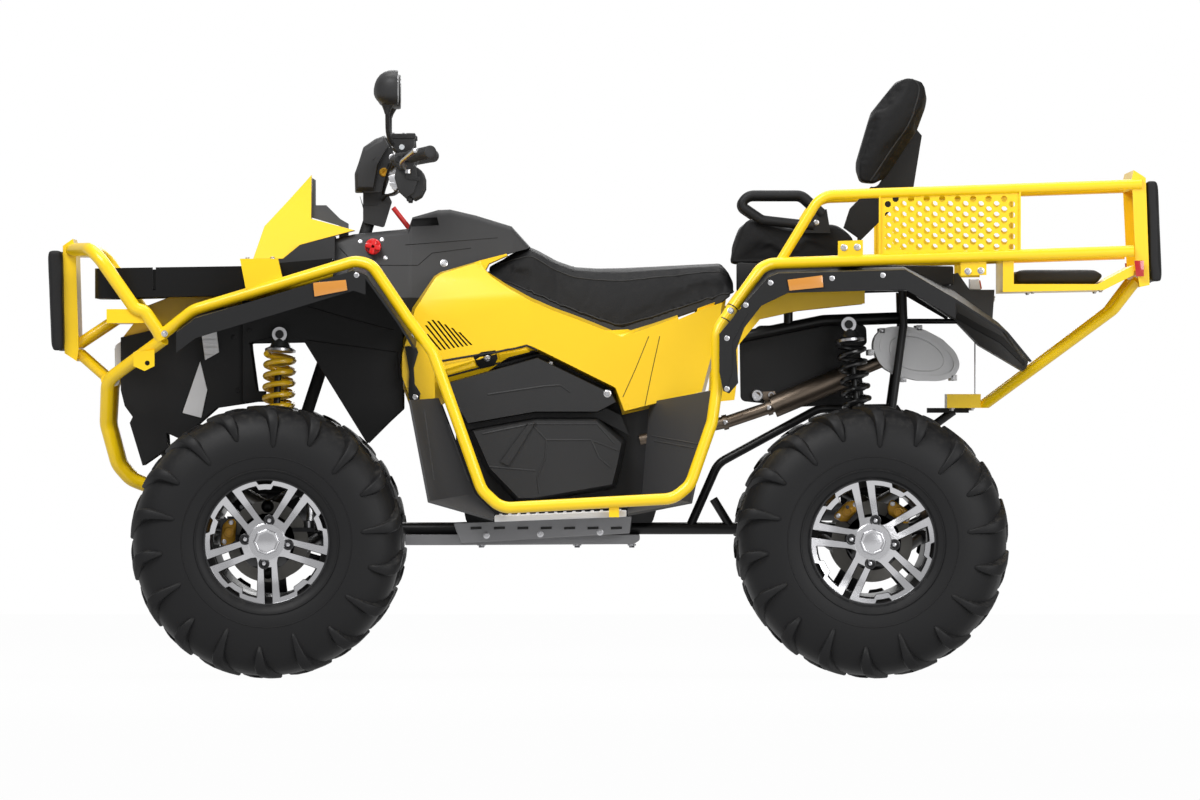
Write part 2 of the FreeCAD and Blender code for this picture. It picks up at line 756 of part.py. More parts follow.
def frame_shape():
    pieces = []
    for side in (-1, 1):
        y = side * rail_y
        pieces.append(side_tube(lower_rail_px, y, frame_tube))
        pieces.append(side_tube(upper_rail_px, y, frame_tube))
        pieces.append(side_tube(diagonal_px, y, strut_tube))
        pieces.append(side_tube(post_px, side * post_y, strut_tube))
        for ends in (rack_post_px, console_post_px, seat_post_px, deck_post_px, brace_px):
            pieces.append(rod(at(ends[0], y), at(ends[1], y), strut_tube))
        pieces.append(rod(at(tail_stay_px[0], side * tail_stay_y), at(tail_stay_px[1], side * tail_stay_y),
                          tail_stay_radius))
        pieces += [axle_plate(front_axle_x, side), axle_plate(rear_axle_x, side)]
    for point in cross_px:
        pieces.append(cross_rod(point, rail_y, cross_tube))
    for point in wide_cross_px:
        pieces.append(cross_rod(point, post_y, strut_tube))
    pieces.append(cross_rod(fascia_cross_px, fascia_half_width - panel_wall - gap, strut_tube))
    pieces.append(cross_rod(front_shock_top_px, shock_y(kingpin_y, shock_top_share) + beam_end, shock_pin_radius))
    pieces.append(cross_rod(rear_shock_top_px, shock_y(rear_hub_y, shock_top_share) + beam_end, shock_pin_radius))
    pieces.append(guide_shape())
    pieces.append(slab(hanger_px, hanger_half_width))
    return joined(pieces)


def above(shape, z):
    return shape.common(box(-reach, reach, -reach, reach, z, reach))


def below(shape, z):
    return shape.common(box(-reach, reach, -reach, reach, -reach, z))


def engine_shape():
    return above(slab(engine_px, engine_half_width, overrun), lower_rail_z + frame_tube + gap)


def air_box_shape(frame):
    """Air box between the rear frame's side tubes, open where the beam of the shocks runs through it."""
    return main_solid(slab(air_box_px, air_box_half_width, air_box_corner).cut(frame))


def skid_shapes():
    centre = below(slab(skid_px, skid_half_width), lower_rail_z - frame_tube - gap)
    rocker = plate(rocker_px, -skid_half_width - rocker_width, -skid_half_width)
    return [centre] + both_sides([rocker])


# Seat, console, cowl and side panels
seat_top_corner = 34.0
body_corner = 20.0
edge_corner = 4.0
console_half_width = 150.0
cowl_peak_half_width = 30.0
visor_half_width = 100.0
knob_radius = 20.0
knob_length = 34.0
knob_y = 122.0
side_panel_in = 158.0
side_panel_out = 232.0
side_panel_inset = 8.0
side_panel_lean = 52.0
tray_slot_in = 70.0

seat_stations = [
    (488, 262, 272, 60, 90), (507, 252.7, 284, 80, 110), (531, 245.5, 297, 95, 130), (554, 260, 307, 105, 140),
    (576, 267.5, 315, 120, 155), (622, 268, 333, 140, 178), (660, 265.5, 320, 145, 182), (700, 263.5, 306, 145, 182),
    (727, 262.4, 297, 140, 180), (737, 279, 293, 135, 175),
]
console_stations = [
    (331, 238, 302, 92, 150), (352, 233, 302, 100, 150), (381, 230, 302, 110, 150), (407, 227.5, 302, 110, 150),
    (411, 216, 302, 108, 150), (437, 208.5, 300, 105, 150), (449, 208, 300, 103, 150), (475, 214, 300, 98, 148),
    (511, 225, 290, 82, 118), (530, 246, 290, 74, 96),
]
console_under_px = [(478, 260), (506, 253), (527, 247.5), (540, 247.5), (540, 310), (480, 310)]
console_deck_px = [(250, 258), (281, 258), (298, 244), (333, 235), (333, 261), (331, 257.6), (250, 265.2)]
visor_px = [(309.6, 176), (313, 178), (313, 203.6), (324, 203.6), (338, 217.4), (346, 222), (346, 238),
            (337, 238), (337, 224), (309.6, 216)]
visor_strip_half_width = 22.0
tray_slot_px = [(410, 217.5), (436, 216), (438, 224), (410, 225.5)]
cowl_px = [(251, 257.8), (262, 225), (285, 200), (309, 173), (309, 217.4), (352.7, 229), (298, 243.8), (281, 257.8)]
cowl_wedge_px = (240, 360, 170, 260)
hood_px = [(145, 305), (168, 296), (243.7, 292), (195.5, 307), (170, 326), (120, 337)]
hood_half_width = 168.0
knob_px = (371.5, 245.5)
panel_front_px = [(437, 375), (438, 406.6), (410, 410), (398, 377.5), (398, 354), (411.5, 307)]
panel_top_px = [(433, 275.6), (439.6, 271.4), (480, 259.5), (486, 270.5)]
panel_strip_px = [(478, 260), (506, 252.8), (507, 254.3), (488, 262.8), (484, 270.5), (487, 282), (478, 282)]
panel_notch_px = [(677, 312), (698.5, 305), (697.5, 311), (679, 319)]
vent_lines_px = [[(425, 333.5), (439, 350)], [(424, 325), (443.5, 349.3)], [(426.2, 321), (448, 348.5)],
                 [(430.5, 319.5), (452.5, 347.6)], [(436, 320.5), (457, 347)], [(443, 324), (461.3, 346.3)],
                 [(450, 327.5), (465.6, 345.5)], [(457.5, 332), (469.8, 344.8)]]
vent_width_px = 2.2
panel_rear_px = [(722, 330), (705, 394.5), (622.4, 415), (613, 390), (526.6, 347)]
panel_lean_px = (300, 255)
inner_fender_px = [(745, 290), (866, 290), (866, 303), (800, 310), (761, 318.5), (738.5, 345.5), (738.5, 374),
                   (735, 400), (715, 402), (716, 388), (733, 380), (733, 344)]
inner_fender_y = 224.0
engine_cover_px = [(443, 382), (537.5, 355.5), (613, 392), (619, 403), (598, 414), (535, 414), (466, 426)]
cover_back_px = [(438, 364), (526, 345), (606, 384), (600, 398), (530, 372), (450, 396)]
belt_cover_px = [(466, 428), (535, 416), (598, 416), (627, 441.5), (622, 466), (616, 489), (535, 503),
                 (516, 503), (485, 471)]
cover_rib_px = [(500, 462), (528, 424), (534, 424), (508, 466)]
engine_cover_out = 240.0
belt_cover_out = 262.0
cover_rib_height = 6.0


def cowl_wedge(half_base, half_peak):
    """Upright wedge, wide at the deck and narrow at the cowl's peak."""
    front, rear, top, bottom = cowl_wedge_px
    wires = []
    for px in (front, rear):
        x, z_top, z_bottom = x_at(px), z_at(top), z_at(bottom)
        wires.append(Part.makePolygon([
            V(x, -half_base, z_bottom), V(x, half_base, z_bottom), V(x, half_peak, z_top),
            V(x, -half_peak, z_top), V(x, -half_base, z_bottom),
        ]))
    return Part.makeLoft(wires, True, True)


def cowl_shape():
    return slab(cowl_px, console_half_width).common(cowl_wedge(console_half_width, cowl_peak_half_width))


def console_shape():
    """Console with its front deck, the visor behind the cowl and the open slots of its tray."""
    body = body_loft(console_stations, body_corner, edge_corner)
    deck = slab(console_deck_px, console_half_width)
    visor = slab(visor_px, visor_half_width).common(cowl_wedge(visor_half_width, visor_strip_half_width))
    slot = plate(tray_slot_px, -console_half_width, -tray_slot_in)
    under = slab(console_under_px, console_half_width + overrun)
    console = joined([body.cut(under), deck, visor])
    return console.cut(Part.makeCompound(both_sides([slot])))


def knob_shape():
    start = at(knob_px, -knob_y + knob_length)
    grip = box(start.x - knob_radius / 3, start.x + knob_radius / 3, -knob_y - knob_length, -knob_y,
               start.z - knob_radius, start.z + knob_radius)
    return joined([rod(start, start - V(0, knob_length * 1.5, 0), knob_radius), grip])


def side_panel_shape():
    """Left side panel: a hollow moulding that leans in towards the seat above its knee line."""
    along_seat = [(px, bottom + gap_px) for px, top, bottom, half_top, half_bottom in seat_stations[1:-1]]
    outline = panel_top_px + along_seat + panel_rear_px + panel_front_px
    shape = domed_plate(outline, -side_panel_in, -side_panel_out, side_panel_inset)
    low, high = z_at(panel_lean_px[0]), z_at(panel_lean_px[1])
    slope = side_panel_lean / (high - low)
    top = high + reach
    beyond = side_panel_lean + slope * reach
    wedge_points = [V(-reach, -side_panel_out, low), V(-reach, -side_panel_out + beyond, top),
                    V(-reach, -reach, top), V(-reach, -reach, low)]
    wedge = polygon_face(wedge_points).extrude(V(reach * 2, 0, 0))
    shape = shape.cut(wedge)
    inner = Part.Face(rounded_wire([at(p, -side_panel_in + overrun) for p in outline], 0))
    inner = inner.makeOffset2D(-panel_wall - side_panel_inset)
    hollow = inner.extrude(V(0, -(side_panel_out - side_panel_in - panel_wall + overrun), 0))
    wedge.translate(V(0, panel_wall, 0))
    strip = plate(panel_strip_px, -side_panel_in - panel_wall, -side_panel_in)
    openings = [plate(panel_notch_px, -side_panel_out, -side_panel_in)]
    for (px0, py0), (px1, py1) in vent_lines_px:
        slot = [(px0, py0), (px0 + vent_width_px, py0), (px1 + vent_width_px, py1), (px1, py1)]
        openings.append(plate(slot, -side_panel_out - overrun, -side_panel_out + panel_wall * 2))
    return joined([shape.cut(hollow.cut(wedge)).cut(Part.makeCompound(openings)), strip])


def engine_cover_shapes(panel):
    upper = domed_plate(engine_cover_px, -engine_half_width - gap, -engine_cover_out, panel_wall, panel_wall)
    upper = joined([upper, plate(cover_back_px, -side_panel_in + gap, -engine_half_width - gap)])
    belt = domed_plate(belt_cover_px, -engine_half_width - gap, -belt_cover_out, panel_wall * 2, panel_wall * 2)
    rib = plate(cover_rib_px, -belt_cover_out - cover_rib_height, -engine_half_width - gap)
    belt = joined([belt, rib.common(slab(belt_cover_px, reach))])
    return both_sides([upper.cut(panel), belt.cut(panel)])


# Footwells, footboards, fenders and front fascia
footwell_out = 498.0
footwell_in = 200.0
fender_lip = 48.0
liner_y = 186.0
fascia_half_width = 180.0

footwell_outer_px = [(411, 400), (430, 501), (494, 518.6)]
footwell_inner_px = [(438, 398), (474, 494), (494, 514)]
footboard_px = [(494.5, 521.9), (626.5, 516.7), (626.5, 510.5), (494.5, 515.7)]
heel_outer_px = [(627.5, 513.5), (690, 502), (714, 390)]
heel_inner_px = [(627.5, 509), (642, 494), (650, 402)]
front_fender_outer_px = [(177, 333), (196, 318.5), (281, 293), (335, 276.5), (354, 271), (366, 275), (400, 322.5),
                         (416, 348.5)]
front_fender_inner_px = [(177, 326), (196, 312), (281, 296), (335, 283), (352, 264), (366, 266), (402, 305),
                         (417, 332)]
rear_fender_outer_px = [(741, 313), (769, 277), (778, 273.5), (905, 270), (955, 299), (1008, 333), (1031, 361)]
rear_fender_inner_px = [(741, 302), (769, 272), (778, 269), (905, 266), (955, 290), (1000, 322), (1022, 352)]
rear_trim_px = [(768, 277.5), (790, 274), (790, 292), (761, 306), (744, 328), (736, 350), (738, 383), (729, 393.5),
                (723, 391), (719, 372), (719, 334), (741, 308)]
fascia_px = [(118, 337), (200, 318), (246, 318), (254, 402), (214, 408), (180, 438), (140, 466), (127, 423),
             (130, 417), (122, 406), (118, 390)]
fascia_hollow_px = [(120.5, 339.5), (201, 321), (262, 321), (262, 480), (144, 480), (130.5, 423), (133.5, 417),
                    (125, 406), (120.5, 390)]
fascia_hole_px = [(164, 433), (176, 438.5), (165, 447)]
liner_px = [(303, 300), (352, 269), (366, 270), (402, 312), (402, 409), (388, 422), (366, 444), (303, 342)]
liner_front_px = [(240, 300), (303, 300), (303, 342), (248, 343), (254.5, 391), (262, 391), (262, 402), (241, 402)]


def lip(line_px, start, stop):
    """Upright rim that hangs from the outer edge of a fender."""
    drop = fender_lip / mm_per_px
    line = line_px[start:stop]
    lowered = [(px, py + drop) for px, py in line[::-1]]
    return plate(line + lowered, -fender_half_width, -fender_half_width + panel_wall)


def fender(outer_px, inner_px, y_in, lip_start, lip_stop):
    sheet = bent_sheet(outer_px, inner_px, -fender_half_width, -y_in, panel_wall)
    return joined([sheet, lip(outer_px, lip_start, lip_stop)])


def rear_trim():
    """Trim that carries the rear fender's edge down behind the guard hoop."""
    return plate(rear_trim_px, -fender_half_width, -fender_half_width + panel_wall)


def fascia_shape():
    shell = slab(fascia_px, fascia_half_width).cut(slab(fascia_hollow_px, fascia_half_width - panel_wall))
    return shell.cut(slab(fascia_hole_px, fascia_half_width))


# Pillion, rear deck, backrest and tail
deck_half_width = 230.0
pillion_half_width = 150.0
handle_radius = 12.0
handle_bend = 30.0
backrest_corner = 20.0
bracket_half_width = 60.0
tail_half_width = 150.0
silencer_half_width = 190.0
silencer_corner = 60.0
silencer_rim = 13.0
silencer_rim_depth = 7.0
exhaust_radius = 15.0
shield_radius = 27.0
exhaust_y = 142.0

pillion_px = [(727, 261.9), (744, 216), (758, 214), (790, 225), (840, 222), (860, 236), (860, 264), (739, 264)]
deck_px = [(738.2, 262), (955, 265.5), (955, 284), (910, 290), (738.2, 290)]
handle_px = [(815, 225), (763, 219), (741, 204), (749, 194), (803, 194), (824, 213)]
handle_lug_px = [(806, 212), (828, 208), (832, 232), (806, 232)]
backrest_px = [(907, 73), (928, 78), (930, 89), (918, 126), (879, 186), (858, 182), (859, 161), (876, 109)]
bracket_px = [(915, 122), (924.5, 133.5), (916, 186), (862, 240), (846, 246), (842, 238), (852, 207), (876, 182)]
tail_px = [(915, 282), (960, 272), (972, 289), (997, 289), (995, 319), (1008, 333), (1031, 361), (1028, 372),
           (982, 345), (958, 320), (921, 296)]
silencer_px = [(874, 347), (877, 334), (888, 326.5), (906, 325.5), (926, 329), (944, 338.5), (958, 352),
               (962.5, 365), (957, 376), (943, 381), (920, 380.5), (900, 376), (882, 366)]
exhaust_px = [(640, 440), (728, 422), (784, 403), (850, 375), (900, 354)]
shield_px = [(774, 407), (848, 376)]


def silencer_shape():
    """Silencer across the frame: an egg-shaped can with a raised rim round each end."""
    body = slab(silencer_px, silencer_half_width, silencer_corner)
    y = -silencer_half_width
    end = Part.Face(rounded_wire([at(p, y) for p in silencer_px], silencer_corner)).makeOffset2D(-silencer_rim)
    pocket = end.extrude(V(0, silencer_rim_depth, 0))
    return body.cut(Part.makeCompound(both_sides([pocket])))


def exhaust_shape(silencer, engine):
    """Left exhaust pipe with the round shield over its middle."""
    pipe = tube([at(p, -exhaust_y) for p in exhaust_px], exhaust_radius, tube_bend)
    shield = rod(at(shield_px[0], -exhaust_y), at(shield_px[1], -exhaust_y), shield_radius)
    return main_solid(joined([pipe, shield]).cut(silencer).cut(engine))


def grab_handle():
    """Left grab handle: a bent loop that closes on the lug by which it bolts to the pillion base."""
    y = -pillion_half_width - gap - handle_radius
    loop = tube([at(p, y) for p in handle_px], handle_radius, handle_bend)
    lug = plate(handle_lug_px, y - handle_radius / 2, -pillion_half_width - gap)
    return joined([loop, lug])


# Lamps and reflectors
lamp_height = 30.0
lamp_rib_height = 8.0
lamp_rib_count = 4
headlamp_inner_y = 62.0
headlamp_outer_y = 150.0
reflector_wall = 6.0
tail_lamp_half_width = 60.0
rear_reflector_height = 6.0

side_lamp_px = [(199, 330), (214, 325), (217, 352), (203, 360)]
side_lamp_foot_px = [(180, 413), (198, 361), (205, 390), (199, 418)]
headlamp_px = [(112.5, 345), (117.9, 341), (117.9, 376), (113.5, 374)]
tail_lamp_px = [(972.5, 278), (982, 278), (984, 288.8), (972.5, 288.8)]
amber_front_px = [(313.6, 283), (346.4, 280), (348, 290.5), (315, 297)]
amber_rear_px = [(787, 280), (822, 275.5), (823, 287.5), (789, 291)]
red_rear_px = [(1134.5, 260.5), (1144, 260.5), (1144, 276.5), (1136, 276.5)]


def side_lamp():
    """Left side lamp unit: a ribbed silver reflector above its grey bracket plate."""
    y = -fascia_half_width - gap
    body = plate(side_lamp_px, y - lamp_height + lamp_rib_height, y)
    pieces = [body]
    for i in range(lamp_rib_count):
        share = (i + 0.5) / lamp_rib_count
        top = at(side_lamp_px[0], y).z + (at(side_lamp_px[3], y).z - at(side_lamp_px[0], y).z) * share
        band = box(x_at(side_lamp_px[0][0]), x_at(side_lamp_px[2][0]), y - lamp_height, y,
                   top - lamp_rib_height / 2, top + lamp_rib_height / 2)
        pieces.append(band.common(plate(side_lamp_px, y - lamp_height, y)))
    return [joined(pieces), plate(side_lamp_foot_px, y - steel_wall, y)]


def lamp_shapes():
    headlamp = plate(headlamp_px, -headlamp_outer_y, -headlamp_inner_y)
    return both_sides(side_lamp() + [headlamp]) + [slab(tail_lamp_px, tail_lamp_half_width)]


def reflector_shapes():
    y = -fender_half_width - gap
    shapes = [plate(outline, y - reflector_wall, y) for outline in (amber_front_px, amber_rear_px)]
    y = -rack_half_width - gap
    shapes.append(plate(red_rear_px, y - rear_reflector_height, y))
    return both_sides(shapes)


# Hitch
hitch_px = (930.0, 972.0)
hitch_top_py = 408.0
hitch_bore_px = 939.0
hitch_half_width = 40.0
hitch_thickness = 12.0
hitch_bore_radius = 8.5
hitch_stub_y = 28.0
hitch_stub_px = [(917, 440), (957, 411)]


def hitch_shape():
    top = z_at(hitch_top_py)
    bar = box(x_at(hitch_px[0]), x_at(hitch_px[1]), -hitch_half_width, hitch_half_width, top - hitch_thickness, top)
    bore = Part.makeCylinder(hitch_bore_radius, hitch_thickness + overrun * 2,
                             V(x_at(hitch_bore_px), 0, top - hitch_thickness - overrun), V(0, 0, 1))
    stubs = [rod(at(hitch_stub_px[0], y), at(hitch_stub_px[1], y), strut_tube) for y in (-hitch_stub_y, hitch_stub_y)]
    return below(joined([bar] + stubs), top).cut(bore)


# Guards, bumper and racks
pad_half_width = 240.0
pad_corner = 6.0
front_plate_half_width = 200.0
bumper_start_y = 170.0
bumper_waist_y = 300.0
bumper_foot_y = 190.0
bumper_bracket_half_width = 170.0
bumper_strut_y = 150.0
tab_wall = 8.0
tow_hole_radius = 6.0
tray_wall = 8.0
tray_corner = 110.0
lower_frame_top_y = 370.0
lower_frame_foot_y = 150.0
lower_plate_half_width = 170.0
deck_arm_in = 180.0
strap_lap = 4.0
shelf_pad_half_width = 330.0
perforation_pitch = 18.7
perforation_row = 25.8
perforation_radius = 8.0
perforation_margin = 18.0
perforation_sides = 8
panel_flange = 9.0

front_pad_px = [(45, 248), (59.8, 248), (61.5, 352), (49, 352)]
front_plate_px = [(60, 245), (70, 238), (73, 249), (76, 349), (74, 361), (61.8, 353)]
bumper_upper_px = [(66, 249), (93, 249), (135, 309), (144, 311), (157, 330), (162, 340)]
bumper_upper_shares = [0.0, 0.96, 1.0, 1.0, 1.0, 1.0]
bumper_lower_px = [(163, 339), (106, 380), (104, 424), (115, 465), (128, 480), (146, 487), (184, 487)]
bumper_strut_px = [[(74, 344), (113, 318)], [(74, 352), (106, 380)]]
bumper_bracket_px = [(106, 309), (146, 309), (146, 323), (106, 323)]
bumper_cross_px = (106, 380)
tow_tab_px = [(133, 352), (154, 350), (154, 366), (144, 371), (133, 366)]
tow_hole_px = (146.8, 363.0)
front_tray_px = [(93, 268), (242, 265.8), (331, 258), (331, 264), (242, 295), (110, 298), (93, 298)]
front_tray_hollow_px = [(80, 240), (331, 240), (331, 259), (242, 286), (80, 290)]
tray_slit_px = [(152, 250), (155, 250), (155, 310), (152, 310)]
strap_px = [(240, 258.7), (278, 258.7), (282.7, 279.4), (246, 289.7)]
guard_front_px = [(160, 336), (193, 310), (356, 261), (372, 265), (409, 320), (433, 352), (482, 490), (501, 508)]
guard_front_shares = [0.0, 0.21, 0.71, 0.79, 0.82, 0.86, 0.96, 1.0]
guard_rear_px = [(673, 498.5), (690, 485), (712, 422), (717, 386), (716.6, 331), (732, 308.5), (761, 268),
                 (771, 263.5), (1134, 251)]
guard_rear_shares = [1.0, 0.95, 0.82, 0.77, 0.64, 0.45, 0.18, 0.09, 0.0]
guard_foot_px = [[(504, 508), (514.5, 508), (514.5, 521), (504, 521)], [(609, 503), (619, 503), (619, 517), (609, 517)]]
deck_arm_px = [(838, 258), (863, 257), (863, 264), (838, 263.6)]
deck_tab_px = [(838, 241), (863, 240), (863, 262), (838, 263)]
shelf_tab_px = [(960.7, 256), (986.6, 255), (986.6, 275), (960.7, 275.5)]
rear_rack_px = [(780, 262), (821, 195), (1142, 184)]
rear_plate_px = [(1132, 178), (1134, 170), (1143.5, 176), (1146, 178), (1149.8, 285), (1140, 287), (1136, 262)]
rear_pocket_px = [(1120, 190), (1143, 188), (1146, 274), (1120, 262)]
rear_pad_px = [(1146.3, 179), (1158, 179), (1162.5, 283), (1150.2, 283)]
rack_panel_px = [(879, 190), (1021, 185), (1021, 256), (879, 261)]
lower_frame_px = [(1138, 280), (1115, 310), (983, 408)]
lower_plate_px = [(949, 394), (983, 394), (983, 408), (949, 408)]
shelf_px = [(1003, 254), (1014, 254), (1014, 284), (1098, 284), (1134, 265), (1134, 275), (1104, 290), (1003, 292)]
shelf_pad_px = [(1015.5, 269.5), (1098, 269.5), (1107, 274), (1099, 283.8), (1015.5, 283.8)]


def guard_shape():
    """Left guard hoop in one bent tube, with the brackets that hold it."""
    front_span = guard_half_width - bumper_half_width
    rear_span = guard_half_width - rack_half_width
    points = [at(p, -bumper_half_width - front_span * s) for p, s in zip(guard_front_px, guard_front_shares)]
    points += [at(p, -rack_half_width - rear_span * s) for p, s in zip(guard_rear_px, guard_rear_shares)]
    pieces = [tube(points, guard_tube, tube_bend)]
    for outline in guard_foot_px:
        pieces.append(plate(outline, -guard_half_width, -footwell_out - gap))
    strap_out = bumper_half_width + front_span * (guard_front_shares[1] + guard_front_shares[2]) / 2
    pieces.append(plate(strap_px, -strap_out, -front_rack_half_width - gap))
    run_out = rack_half_width + rear_span * guard_rear_shares[-2]
    pieces.append(plate(deck_arm_px, -run_out, -deck_arm_in))
    pieces.append(plate(deck_tab_px, -run_out - steel_wall, -run_out))
    pieces.append(plate(shelf_tab_px, -rack_half_width - steel_wall, -rack_half_width))
    return joined(pieces)


def front_bumper_shape():
    """Front bumper: pad plate, the two bent side bars, their struts and the tow tabs."""
    pieces = [slab(front_plate_px, front_plate_half_width)]
    ys = [bumper_start_y + (bumper_half_width - bumper_start_y) * s for s in bumper_upper_shares]
    lower_ys = [bumper_half_width, bumper_waist_y, bumper_waist_y - overrun * 3, bumper_foot_y + overrun,
                bumper_foot_y + overrun / 2, bumper_foot_y, rail_y]
    for side in (-1, 1):
        pieces.append(tube([at(p, side * y) for p, y in zip(bumper_upper_px, ys)], bumper_tube, tube_bend))
        pieces.append(tube([at(p, side * y) for p, y in zip(bumper_lower_px, lower_ys)], bumper_tube, tube_bend))
        for start, end in bumper_strut_px:
            pieces.append(rod(at(start, side * bumper_strut_y), at(end, side * bumper_strut_y), rack_tube))
        y_from, y_to = sorted([side * bumper_half_width, side * (bumper_half_width - tab_wall)])
        hole = rod(at(tow_hole_px, -reach), at(tow_hole_px, reach), tow_hole_radius)
        pieces.append(plate(tow_tab_px, y_from, y_to).cut(hole))
    pieces.append(cross_rod(bumper_cross_px, bumper_waist_y, bumper_tube))
    pieces.append(slab(bumper_bracket_px, bumper_half_width))
    return joined(pieces)


def tray_block(outline_px, inset):
    """Block with a side view outline whose front corners are rounded as seen from above."""
    half = front_rack_half_width - inset
    front = x_at(front_tray_px[0][0]) + inset
    rear = x_at(front_tray_px[2][0])
    points = [V(front, -half, 0), V(rear, -half, 0), V(rear, half, 0), V(front, half, 0)]
    corner = tray_corner - inset
    plan = Part.Face(rounded_wire(points, [corner, 0, 0, corner])).extrude(V(0, 0, reach))
    return slab(outline_px, front_rack_half_width).common(plan)


def front_rack_shape():
    """Front rack: a shallow tray with an upright rim all round its front and sides."""
    tray = tray_block(front_tray_px, 0).cut(tray_block(front_tray_hollow_px, tray_wall))
    slit = plate(tray_slit_px, -front_rack_half_width - overrun, -front_rack_half_width + tray_wall + overrun)
    floor = below(tray_block(front_tray_px, 0), z_at(front_tray_hollow_px[-1][1]))
    slits = Part.makeCompound(both_sides([slit])).cut(floor)
    return tray.cut(slits)


def rear_rack_shape():
    half = rack_half_width
    shell = slab(rear_plate_px, half)
    pocket = slab(rear_pocket_px, half - panel_wall)
    rails = [side_tube(rear_rack_px, side * half, rack_tube) for side in (-1, 1)]
    return joined([shell.cut(pocket)] + rails)


def perforated_panel():
    """Left perforated side plate of the rear rack: staggered round holes between two flanges."""
    y = -rack_half_width
    corners = [at(p, y - steel_wall / 2) for p in rack_panel_px]
    x_from, x_to = corners[0].x, corners[1].x
    z_from = max(corners[2].z, corners[3].z) + guard_tube + perforation_radius
    z_to = min(corners[0].z, corners[1].z) - rack_tube - perforation_radius
    wires = [Part.makePolygon(corners + [corners[0]])]
    columns = int((x_to - x_from - 2 * perforation_margin) / perforation_pitch) + 1
    rows = int((z_to - z_from) / perforation_row) + 1
    start = (x_from + x_to - (columns - 1) * perforation_pitch) / 2
    for i in range(columns):
        shift = perforation_row / 2 if i % 2 else 0
        for j in range(rows):
            centre = V(start + i * perforation_pitch, y - steel_wall / 2, z_from + j * perforation_row + shift)
            ring = []
            for k in range(perforation_sides + 1):
                turn = 2 * math.pi * (k + 0.5) / perforation_sides
                ring.append(centre + V(math.cos(turn), 0, math.sin(turn)) * perforation_radius)
            wires.append(Part.makePolygon(ring))
    sheet = Part.Face(wires[0]).cut(Part.makeCompound([Part.Face(w) for w in wires[1:]])).extrude(V(0, steel_wall, 0))
    flanges = []
    for x in (x_from, x_to - steel_wall):
        flanges.append(box(x, x + steel_wall, y - panel_flange, y + panel_flange, corners[2].z, corners[0].z))
    outline = plate(rack_panel_px, y - panel_flange, y + panel_flange)
    return joined([sheet] + [f.common(outline) for f in flanges])


def lower_frame_shape():
    """Yellow struts from the rear plate down to the cross plate by the hitch."""
    pieces = [slab(lower_plate_px, lower_plate_half_width)]
    ys = [lower_frame_top_y, lower_frame_top_y - overrun * 2, lower_frame_foot_y]
    for side in (-1, 1):
        pieces.append(tube([at(p, side * y) for p, y in zip(lower_frame_px, ys)], rack_tube, tube_bend))
    return below(above(joined(pieces), z_at(hitch_top_py)), reach)


def body_nodes(frame):
    nodes = {}
    seat = body_loft(seat_stations, seat_top_corner, edge_corner)
    boot = rod(column_point(0), at(column_top_px, 0), column_boot_radius)
    console = console_shape().cut(seat).cut(boot)
    panel = main_solid(side_panel_shape().cut(seat).cut(console))
    rack = front_rack_shape()
    bumper = front_bumper_shape().cut(frame)
    hood = main_solid(slab(hood_px, hood_half_width).cut(rack).cut(frame).cut(bumper))
    pillion = joined([slab(pillion_px, pillion_half_width), slab(deck_px, deck_half_width)]).cut(seat)
    backrest = slab(backrest_px, pillion_half_width, backrest_corner)
    silencer = silencer_shape()
    nodes["engine"] = [engine_shape(), air_box_shape(frame)]
    nodes["skid_plate"] = skid_shapes()
    nodes["seat"] = [seat]
    nodes["console"] = [console]
    nodes["battery_switch"] = [knob_shape().cut(console)]
    nodes["front_rack"] = [rack]
    nodes["front_bumper"] = [bumper]
    nodes["front_cowl"] = [cowl_shape().cut(boot).cut(console), hood]
    inner_fender = plate(inner_fender_px, -inner_fender_y - panel_wall, -inner_fender_y).cut(pillion)
    nodes["side_panel_left"] = [panel, inner_fender]
    nodes["side_panel_right"] = [mirrored(panel), mirrored(inner_fender)]
    nodes["engine_covers"] = engine_cover_shapes(panel)
    footwell = bent_sheet(footwell_outer_px, footwell_inner_px, -footwell_out, -footwell_in, panel_wall)
    heel = bent_sheet(heel_outer_px, heel_inner_px, -footwell_out, -footwell_in, panel_wall)
    covers = Part.makeCompound([panel] + nodes["engine_covers"] + nodes["skid_plate"])
    nodes["footwells"] = both_sides([main_solid(footwell.cut(covers)), main_solid(heel.cut(covers))])
    nodes["footboards"] = both_sides([plate(footboard_px, -footwell_out, -footwell_in).cut(covers)])
    liner = joined([plate(outline, -liner_y - panel_wall, -liner_y) for outline in (liner_px, liner_front_px)])
    nodes["splash_liners"] = both_sides([main_solid(liner.cut(panel).cut(frame))])
    nodes["front_fascia"] = [main_solid(fascia_shape().cut(hood).cut(frame))]
    nodes["pillion"] = [pillion]
    nodes["backrest"] = [backrest]
    nodes["backrest_bracket"] = [slab(bracket_px, bracket_half_width).cut(backrest).cut(pillion)]
    nodes["grab_handles"] = both_sides([grab_handle()])
    nodes["tail"] = [slab(tail_px, tail_half_width).cut(pillion).cut(frame)]
    nodes["silencer"] = [silencer.cut(frame)]
    nodes["exhaust"] = [exhaust_shape(silencer, nodes["engine"][0])]
    nodes["front_pad"] = [slab(front_pad_px, pad_half_width, pad_corner)]
    nodes["rear_pad"] = [slab(rear_pad_px, rack_half_width, pad_corner)]
    return nodes


